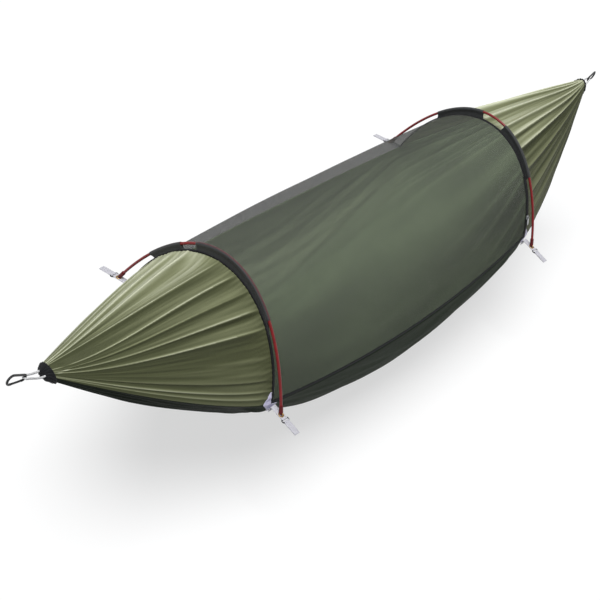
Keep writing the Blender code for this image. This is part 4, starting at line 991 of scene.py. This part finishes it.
TILT = math.radians(12.0)
STRAP_THICK = 0.0020
STRAP_PLY = 0.00096
STRAP_WIDTH = 0.0194
STRAP_FLAP = 0.020
STRAP_BEND = 0.0016  # from the bed's edge to where the outer ply turns down into its flap
STRAP_RETURN = 0.006  # from the bed's edge to the end of the ply that comes back from the ring
STRAP_BOX = (0.008, 0.034)  # first and last place of the sewn box along the strap
RING_WIRE = 0.0014
EYE_INNER = RING_WIRE + SEAT_GAP
EYE_PLAY = 0.0001
EYE_NECK = 0.006  # from the ring's middle to where the plies lie straight
PATCH_BUILT = 0.0018  # the solid patch's outer face over the bed's line
GROMMET_HOLE = 0.0060
TAB_LENGTH = 0.044
TAB_PLY = 0.0014
TAB_BOX = (0.012, 0.037)
BOX_HALF = 0.0065
BOX_STITCH = 0.0022


def corner_axes(edge):
    """Directions at a strap: along the bed's edge, out along the strap, and up from its face."""
    out = np.array([0.0, edge * math.cos(TILT), -math.sin(TILT)])
    up = np.array([0.0, edge * math.sin(TILT), math.cos(TILT)])
    return np.array([float(edge), 0.0, 0.0]), out, up


def strap_root(side, edge):
    """Where the strap's arm leaves the bed's edge."""
    sides = edge_half_width(HOOP_X + np.array([-0.010, 0.010]))
    out = float(sides.max()) + PATCH_BUILT + SEAT_GAP + STRAP_THICK / 2
    return np.array([side * HOOP_X, edge * out, BED_DEPTH - SEAM_DROP - STRAP_THICK])


def eased(line, times):
    """Rounds a line's bends: each time, a point moves to the weighted middle of its neighbours
    and itself, which counts double."""
    for _ in range(times):
        line[1:-1] = (line[:-2] + 2 * line[1:-1] + line[2:]) / 4
    return line


def eye(ply, first, last, steps):
    """Webbing round a ring's wire: an arc about the wire's middle, between angles in degrees."""
    turns = np.radians(np.linspace(first, last, steps))
    radius = EYE_INNER + ply / 2 + EYE_PLAY
    return radius * np.column_stack([np.cos(turns), np.sin(turns)])


def ribbon(points, root, axes, ply):
    """Webbing of one thickness along a path in a strap's side plane, from (out, up) points. The
    path is resampled evenly and rounded a little at its bends."""
    lateral, out, up = axes
    points = np.array([tuple(point) for point in points])
    done = travelled(points)
    path = eased(spaced(np.linspace(0.0, done[-1], 150), done, points), 3)
    way = unit(np.gradient(path, axis=0))
    line = root + path[:, :1] * out + path[:, 1:] * up
    face = -way[:, 1:] * out + way[:, :1] * up
    return swept(line, lateral, face, rounded(STRAP_WIDTH / 2, -ply / 2, ply / 2, ply * 0.42))


def webbing(name, low, high):
    """Polyester webbing: ribs along the strap and finer picks across it, dull, with painted shade
    that makes it slightly grey between the ribs. Ribs are 1.6 mm apart, as on the real 20 mm strap."""
    made, tree, shader, _, flat = blank(name, 0.75, sheen_weight=0.2)
    ribs = weave(tree, flat, 0.0016, 0.0011)
    tone = add(tree, "ShaderNodeMapRange", {"Value": ribs, 1: 0.0, 2: 1.6})
    coloured(tree, shader, tone.outputs[0], low, high, ribs, 0.7, 0.0005)
    return made


def boxed(root, axes, box, height):
    """Rows of a sewn box with its cross, on a strap's face."""
    lateral, out, up = axes
    (first, last), half = box, BOX_HALF
    spots = [(first, -half), (last, -half), (last, half), (first, half), (first, -half)]
    spots += [(last, half), (last, -half), (first, half)]
    rows = []
    for start, end in zip(spots[:-1], spots[1:]):
        t = np.linspace(0.0, 1.0, 12)[:, None]
        at, aside = (a + (b - a) * t for a, b in zip(start, end))
        line = root + at * out + aside * lateral + height * up
        rows.append(stitch_row(line, np.broadcast_to(up, line.shape), BOX_STITCH, 0.0003))
    return rows


def punch(piece, centre, axes):
    """Cuts the grommet's round hole through a strap, square to its face."""
    hole = bmesh.new()
    place = Matrix.Translation(centre) @ Matrix(np.column_stack(axes).tolist()).to_4x4()
    size = {"radius1": GROMMET_HOLE, "radius2": GROMMET_HOLE, "depth": 0.02}
    bmesh.ops.create_cone(hole, cap_ends=True, segments=40, matrix=place, **size)
    tool = placed("punch", bpy.data.meshes.new("punch"))
    hole.to_mesh(tool.data)
    hole.free()
    cut = piece.modifiers.new("hole", "BOOLEAN")
    cut.object, cut.operation, cut.solver = tool, "DIFFERENCE", "EXACT"
    bpy.context.view_layer.update()
    graph = bpy.context.evaluated_depsgraph_get()
    holed = bpy.data.meshes.new_from_object(piece.evaluated_get(graph))
    piece.modifiers.clear()
    piece.data = holed
    bpy.data.objects.remove(tool)


white_webbing = webbing("polyester_webbing_white", "#a3a2ac", "#dcdbe2")
joint_place = {joint["name"]: np.array(joint["pos_m"], float) for joint in frame["joints"]}
for corner, (side, edge) in CORNERS.items():
    axes, root = corner_axes(edge), strap_root(side, edge)
    bar = float((joint_place[f"ring_swing_{corner}"] - root) @ axes[1])
    flap = np.array([math.sin(TILT), -math.cos(TILT)]) * STRAP_FLAP
    ring_path = (bar, 0.0) + eye(STRAP_PLY, 150.0, -150.0, 22)
    path = [flap, flap * 0.15, (STRAP_BEND, STRAP_PLY / 2), (bar - EYE_NECK, STRAP_PLY / 2)]
    path += [*ring_path, (bar - EYE_NECK, -STRAP_PLY / 2), (STRAP_RETURN, -STRAP_PLY / 2)]
    grid = ribbon(path, root, axes, STRAP_PLY)
    piece = skin(f"strap_webbing_{corner}", grid, white_webbing, caps=True)
    centre = np.mean(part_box(f"grommet_{corner}"), 0)
    punch(piece, root + axes[1] * ((centre - root) @ axes[1]), axes)
    stands_for(piece, f"strap_{corner}")
    rows = boxed(root, axes, STRAP_BOX, STRAP_PLY)
    threads(f"strap_stitches_{corner}", rows, white_thread)

    root, body = joint_place[f"tab_swing_{corner}"], f"tab_body_{corner}"
    ends = [(TAB_LENGTH, TAB_PLY / 2), (EYE_NECK, TAB_PLY / 2)]
    path = [(out, -up) for out, up in ends]
    path += [*eye(TAB_PLY, -25.0, -335.0, 24), *ends[::-1]]
    grid = ribbon(path, root, axes, TAB_PLY)
    piece = skin(f"tab_webbing_{corner}", grid, white_webbing, caps=True)
    stands_for(piece, f"tab_{corner}", body)
    threads(f"tab_stitches_{corner}", boxed(root, axes, TAB_BOX, TAB_PLY), white_thread, body)


# Metal at the pole feet: brass grommets rolled into the straps, nickelled steel tips on the poles
# with a stem through each grommet, and black lacquered wire rings.

GROMMET_BORE = 0.0052
GROMMET_FLANGE = 0.0085
GROMMET_SEAT = 0.0011  # from the webbing's middle to the flange's inner face
GROMMET_WALL = 0.0008
GROMMET_RISE = 0.0011
GROMMET_ROLL = 0.0022  # width of the round from the bore to the top
GROMMET_EDGE = 0.0012  # width of the round from the top to the flange's edge


def metal(name, low, high, roughness, grain, metallic=1.0, coat=0.0):
    """Small metal parts, tumbled smooth: fine cloudy wear, rougher where they are handled."""
    made, tree, shader, place, _ = blank(name, roughness, metallic=metallic, coat_weight=coat)
    wear = add(tree, "ShaderNodeTexNoise", {"Vector": place, "Scale": grain, "Detail": 6.0})
    wear = wear.outputs["Fac"]
    coloured(tree, shader, wear, low, high, wear, 0.05, 0.0002)
    sockets = {"Value": wear, 3: roughness * 0.7, 4: roughness * 1.5}
    rough = add(tree, "ShaderNodeMapRange", sockets)
    tree.links.new(rough.outputs[0], shader.inputs["Roughness"])
    return made


def dress(node, material):
    """Gives a solid of the frame its finish."""
    solid = frame["nodes"][node]
    solid.data.materials.clear()
    solid.data.materials.append(material)


def lathe(name, profile, root, axes, material):
    """A piece turned about the third of its axes, from (radius, height) points."""
    turns = np.radians(np.arange(48) * 7.5)
    spokes = np.cos(turns)[:, None] * axes[0] + np.sin(turns)[:, None] * axes[1]
    grid = root + profile[:, 0, None, None] * spokes[None] + profile[:, 1, None, None] * axes[2]
    return skin(name, grid, material, around=True, along=True)


brass = metal("rolled_brass", "#a0762f", "#d8ac5c", 0.30, 160.0)
nickel = metal("nickelled_steel", "#8d8f93", "#c3c5c8", 0.28, 140.0)
dark_tip = metal("anodised_tip_dark_red", "#3a0508", "#6b0a11", 0.36, 120.0, 0.5)
black_steel = metal("black_lacquered_steel", "#0c0c0d", "#1d1e20", 0.34, 120.0, 0.7, 0.3)

# Half of the grommet's profile: up the bore, over the top and down to the flange's edge.
t = np.radians(np.linspace(0.0, 90.0, 5))
bore = GROMMET_BORE + GROMMET_WALL
roll = [bore + GROMMET_ROLL * (1 - np.cos(t)), GROMMET_SEAT + GROMMET_RISE * np.sin(t)]
rim = [GROMMET_FLANGE - GROMMET_EDGE * (1 - np.sin(t)), GROMMET_SEAT + GROMMET_RISE * np.cos(t)]
ends = [(GROMMET_FLANGE, GROMMET_SEAT), (bore, GROMMET_SEAT)]
upper = np.vstack([(GROMMET_BORE, GROMMET_SEAT), np.column_stack(roll), np.column_stack(rim), ends])
profile = np.vstack([upper, upper[::-1] * (1, -1)])
for corner, (_, edge) in CORNERS.items():
    centre = np.mean(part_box(f"grommet_{corner}"), 0)
    piece = lathe(f"grommet_brass_{corner}", profile, centre, corner_axes(edge), brass)
    stands_for(piece, f"grommet_{corner}")
    dress(f"pole_tip_{corner}", dark_tip)
    dress(f"ring_{corner}", black_steel)


# The zip: a coil zip on black tape under the net's front edge, which turns up beside the right
# hoop. The slider and its pull are die-cast and plated, and stand on the upright run.

ZIP_TAPE = 0.0012
ZIP_ROWS = 0.0034
ZIP_STITCH = 0.0040
ZIP_SUNK = 0.0001  # the stitches are pulled a little into the tape, so the slider clears them
COIL_RADIUS = 0.0013
COIL_PITCH = 0.0021
RISER_START = 0.950
RISER_END = 0.520

# Moulded nylon coil: smooth and slightly shiny, dark grey in fine flecks.
black_nylon, tree, shader, place, _ = blank("nylon_coil_black", 0.50, 0.2)
crowns = add(tree, "ShaderNodeTexNoise", {"Vector": place, "Scale": 300.0})
sockets = {0: crowns.outputs["Fac"], 6: linear("#0d0d0f"), 7: linear("#1d1e20")}
mix = add(tree, "ShaderNodeMix", sockets, data_type="RGBA")
tree.links.new(mix.outputs[2], shader.inputs["Base Color"])


def zip_run(name, path, across, out, base):
    """A length of zip: flat tape, two rows of stitches, and a coil of teeth along its middle. The
    coil is an oval tube that swells and leans by a sine wave, once for each tooth."""
    grid = swept(path, across, out, rounded(ZIP_WIDTH / 2, base, base + ZIP_TAPE, 0.0004))
    tape = skin(f"{name}_tape", grid, black_twill, caps=True)
    stands_for(tape, name)
    done = travelled(path)
    at = np.arange(0.0, done[-1], COIL_PITCH / 4)
    line, side, face = (spaced(at, done, rows)[:, None] for rows in (path, across, out))
    turns = np.radians(np.arange(10) * 36.0)
    phase = 2 * math.pi * at[:, None] / COIL_PITCH
    swell = COIL_RADIUS * (0.82 + 0.18 * np.cos(phase))
    ring_x = 1.25 * np.cos(turns) * swell + 0.0003 * np.sin(phase)
    ring_z = 0.8 * np.sin(turns) * swell + base + ZIP_TAPE
    grid = line + side * ring_x[..., None] + face * ring_z[..., None]
    coil = skin(f"{name}_coil", grid, black_nylon, caps=True)
    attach(coil, "hammock")
    top = path + out * (base + ZIP_TAPE - ZIP_SUNK)
    rows = [stitch_row(top + across * w, out, ZIP_STITCH, 0.0002) for w in (-ZIP_ROWS, ZIP_ROWS)]
    threads(f"{name}_stitches", rows, black_thread)


edge = HOOP_X - BINDING_WIDTH / 2 - SEAT_GAP
x = np.linspace(-1.0, 1.0, 260) * edge
s = -1.0 + (EDGE_GAP + ZIP_WIDTH / 2) / arch_metres(x)
path, out = arch_point(x, s), arch_out(x, s)
zip_run("zip_seam", path, np.cross(ALONG, out), out, -ZIP_TAPE)
s = np.linspace(-RISER_START, -RISER_END, 90)
x = np.full(s.shape, edge - ZIP_WIDTH / 2)
path, out = arch_point(x, s), arch_out(x, s)
zip_run("zip_riser", path, np.broadcast_to(ALONG, path.shape), out, SEAT_GAP)
dress("zip_slider", nickel)
dress("zip_pull", nickel)


# The gathered ends: a black nylon hem is drawn tight round the cloth, and its pleats fan out over
# the folds. White braided cord runs through it and leaves it as a loop for the carabiner.

HEM_LENGTH = 0.030
HEM_PLUG = 0.0110
HEM_PLEATS = 15
HEM_COLUMNS = 420
CORD_RADIUS = 0.0027
CORD_SPREAD = 0.0095
CORD_SOCKET = 0.0075
CORD_LAY = 0.0085  # one turn of the plaits
CORD_PULL = 0.7  # how straight the cord runs on from the hem and into the bow
BINER_WIRE = 0.0030
PLUG_FACE = HALF_LENGTH + HEM_PLUG
BIGHT_RADIUS = BINER_WIRE + SEAT_GAP + CORD_RADIUS
# Side, length of the loop, and how far it points up and to the front, in degrees.
HANGS = {"left": (-1, 0.0590, 20.0, 0.0), "right": (1, 0.0552, 0.0, -6.0)}


def girth_loop(x, t):
    """The hammock's whole section at x as one loop: the bed from front to back, then the canopy."""
    at = np.minimum(x, HALF_LENGTH)
    low = bed_point(at, np.clip(4 * t - 1, -1.0, 1.0))
    high = arch_point(at, np.clip(1.0 - 2 * (2 * t - 1), -1.0, 1.0))
    return np.where((t < 0.5)[..., None], low, high)


def drawn_hem(side):
    """The hem: pleats stand round the cloth, bunch at the end and close over it in a puckered disc.
    The pleats are powers of a cosine round the loop, and along runs to 1 where the disc starts."""
    along = np.concatenate([np.linspace(0.0, 1.0, 36), np.ones(9)])[:, None]
    close = np.concatenate([np.zeros(36), np.linspace(0.0, 1.0, 10)[1:]])[:, None]
    t = (np.arange(HEM_COLUMNS) / HEM_COLUMNS)[None, :]
    length = HEM_LENGTH * (0.44 + 0.34 * np.sin(2 * math.pi * t))  # longer under the bed
    x = HALF_LENGTH - length + (length + HEM_PLUG) * along
    loop = girth_loop(x, t + 0 * x)
    phase = 2 * math.pi * HEM_PLEATS * t + 1.1 * np.sin(2 * math.pi * 3 * t) + 0.8 * along
    pleat = 0.0011 + 0.0016 * (0.5 + 0.5 * np.cos(phase)) ** 0.7
    pleat = pleat + 0.0004 * np.cos(2 * phase + 5 * along)
    mouth = np.clip(along * 8, 0.0, 1.0)
    out = 0.0006 + (pleat + 0.0006 * np.sin(along * 9)) * mouth
    out = out - 0.0155 * np.clip((x - HALF_LENGTH) / HEM_PLUG, 0.0, 1.0) ** 1.4
    moved = loop + unit(loop - middle_of(loop)) * out[..., None]
    centre = np.array([0.0, 0.0, BED_DEPTH])
    moved = centre + (moved - centre) * (1.0 - 0.93 * close)[..., None]
    moved[..., 0] = (x + 0.0012 * np.sin(math.pi * close) - 0.0022 * close) * side
    return moved


def gathered_cloth():
    """Black nylon hem tape, drawn into pleats: dull, greyer in soft clouds."""
    made, tree, shader, place, flat = blank("nylon_hem_black", 0.62, 0.15)
    cloud = add(tree, "ShaderNodeTexNoise", {"Vector": place, "Scale": 90.0, "Detail": 4.0})
    cloud, cloth = cloud.outputs["Fac"], weave(tree, flat, 0.0012)
    coloured(tree, shader, cloud, "#0b0b0d", "#1c1d20", cloth, 0.4, 0.0003)
    return made


def hermite(start, end, start_way, end_way, steps):
    """A cubic between two points that leaves and arrives in given directions."""
    t = np.linspace(0.0, 1.0, steps)[:, None]
    rise, fall = 3 * t**2 - 2 * t**3, 2 * t**3 - 3 * t**2 + 1
    return start * fall + end * rise + start_way * (t**3 - 2 * t**2 + t) + end_way * (t**3 - t**2)


def loop_route(side, reach, rise, turn):
    """Centre line of a cord loop: out of the hem, round the carabiner's wire and back."""
    rise, turn = math.radians(rise), math.radians(turn)
    along = [side * math.cos(rise) * math.cos(turn), -math.sin(turn), math.sin(rise)]
    along = unit(np.array(along))
    across = unit(np.cross([0.0, 0.0, 1.0], along))
    bow = np.array([side * PLUG_FACE, 0.0, BED_DEPTH]) + reach * along
    out = np.array([float(side), 0.0, 0.0])
    legs = []
    for leg in (1.0, -1.0):
        socket = np.array([side * (PLUG_FACE - CORD_SOCKET), leg * side * CORD_SPREAD, BED_DEPTH])
        mouth = socket + out * CORD_SOCKET * 1.27
        bight = bow + leg * across * BIGHT_RADIUS
        pull = reach * CORD_PULL
        legs.append(np.vstack([socket, hermite(mouth, bight, out * pull, along * pull, 40)]))
    turns = np.radians(np.linspace(90.0, -90.0, 30)[1:-1])[:, None]
    bend = bow + BIGHT_RADIUS * (np.cos(turns) * along + np.sin(turns) * across)
    return np.concatenate([legs[0], bend, legs[1][::-1]])


def braided(name, path, radius, material):
    """Braided cord: eight plaits cross over each other, so the skin rises and falls both ways."""
    done = travelled(path)
    at = np.arange(0.0, done[-1], 0.0004)
    line = eased(spaced(at, done, path), 30)
    way = unit(np.gradient(line, axis=0))
    side = unit(np.cross(way, [0.0, 0.05, 1.0]))
    up = np.cross(side, way)
    turns = np.radians(np.arange(32) * 360.0 / 32)[None, :]
    lay = 2 * math.pi * at[:, None] / CORD_LAY
    plaits = np.maximum(np.sin(4 * turns + lay * 2), np.sin(4 * turns - lay * 2))
    size = radius * (0.93 + 0.07 * plaits)
    grid = line[:, None] + side[:, None] * (size * np.cos(turns))[..., None]
    grid = grid + up[:, None] * (size * np.sin(turns))[..., None]
    return skin(name, grid, material, caps=True)


hem_black = gathered_cloth()
white_cord = webbing("braided_cord_white", "#b9b9bb", "#eeeeee")
for name, (side, reach, rise, turn) in HANGS.items():
    piece = skin(f"drawn_hem_{name}", drawn_hem(side), hem_black, caps=True)
    stands_for(piece, f"end_hem_{name}")
    route = loop_route(side, reach, rise, turn)
    piece = braided(f"braided_loop_{name}", route, CORD_RADIUS, white_cord)
    stands_for(piece, f"cord_loop_{name}")
    dress(f"carabiner_{name}", black_steel)
    dress(f"gate_{name}", black_steel)
    dress(f"gate_pin_{name}", nickel)
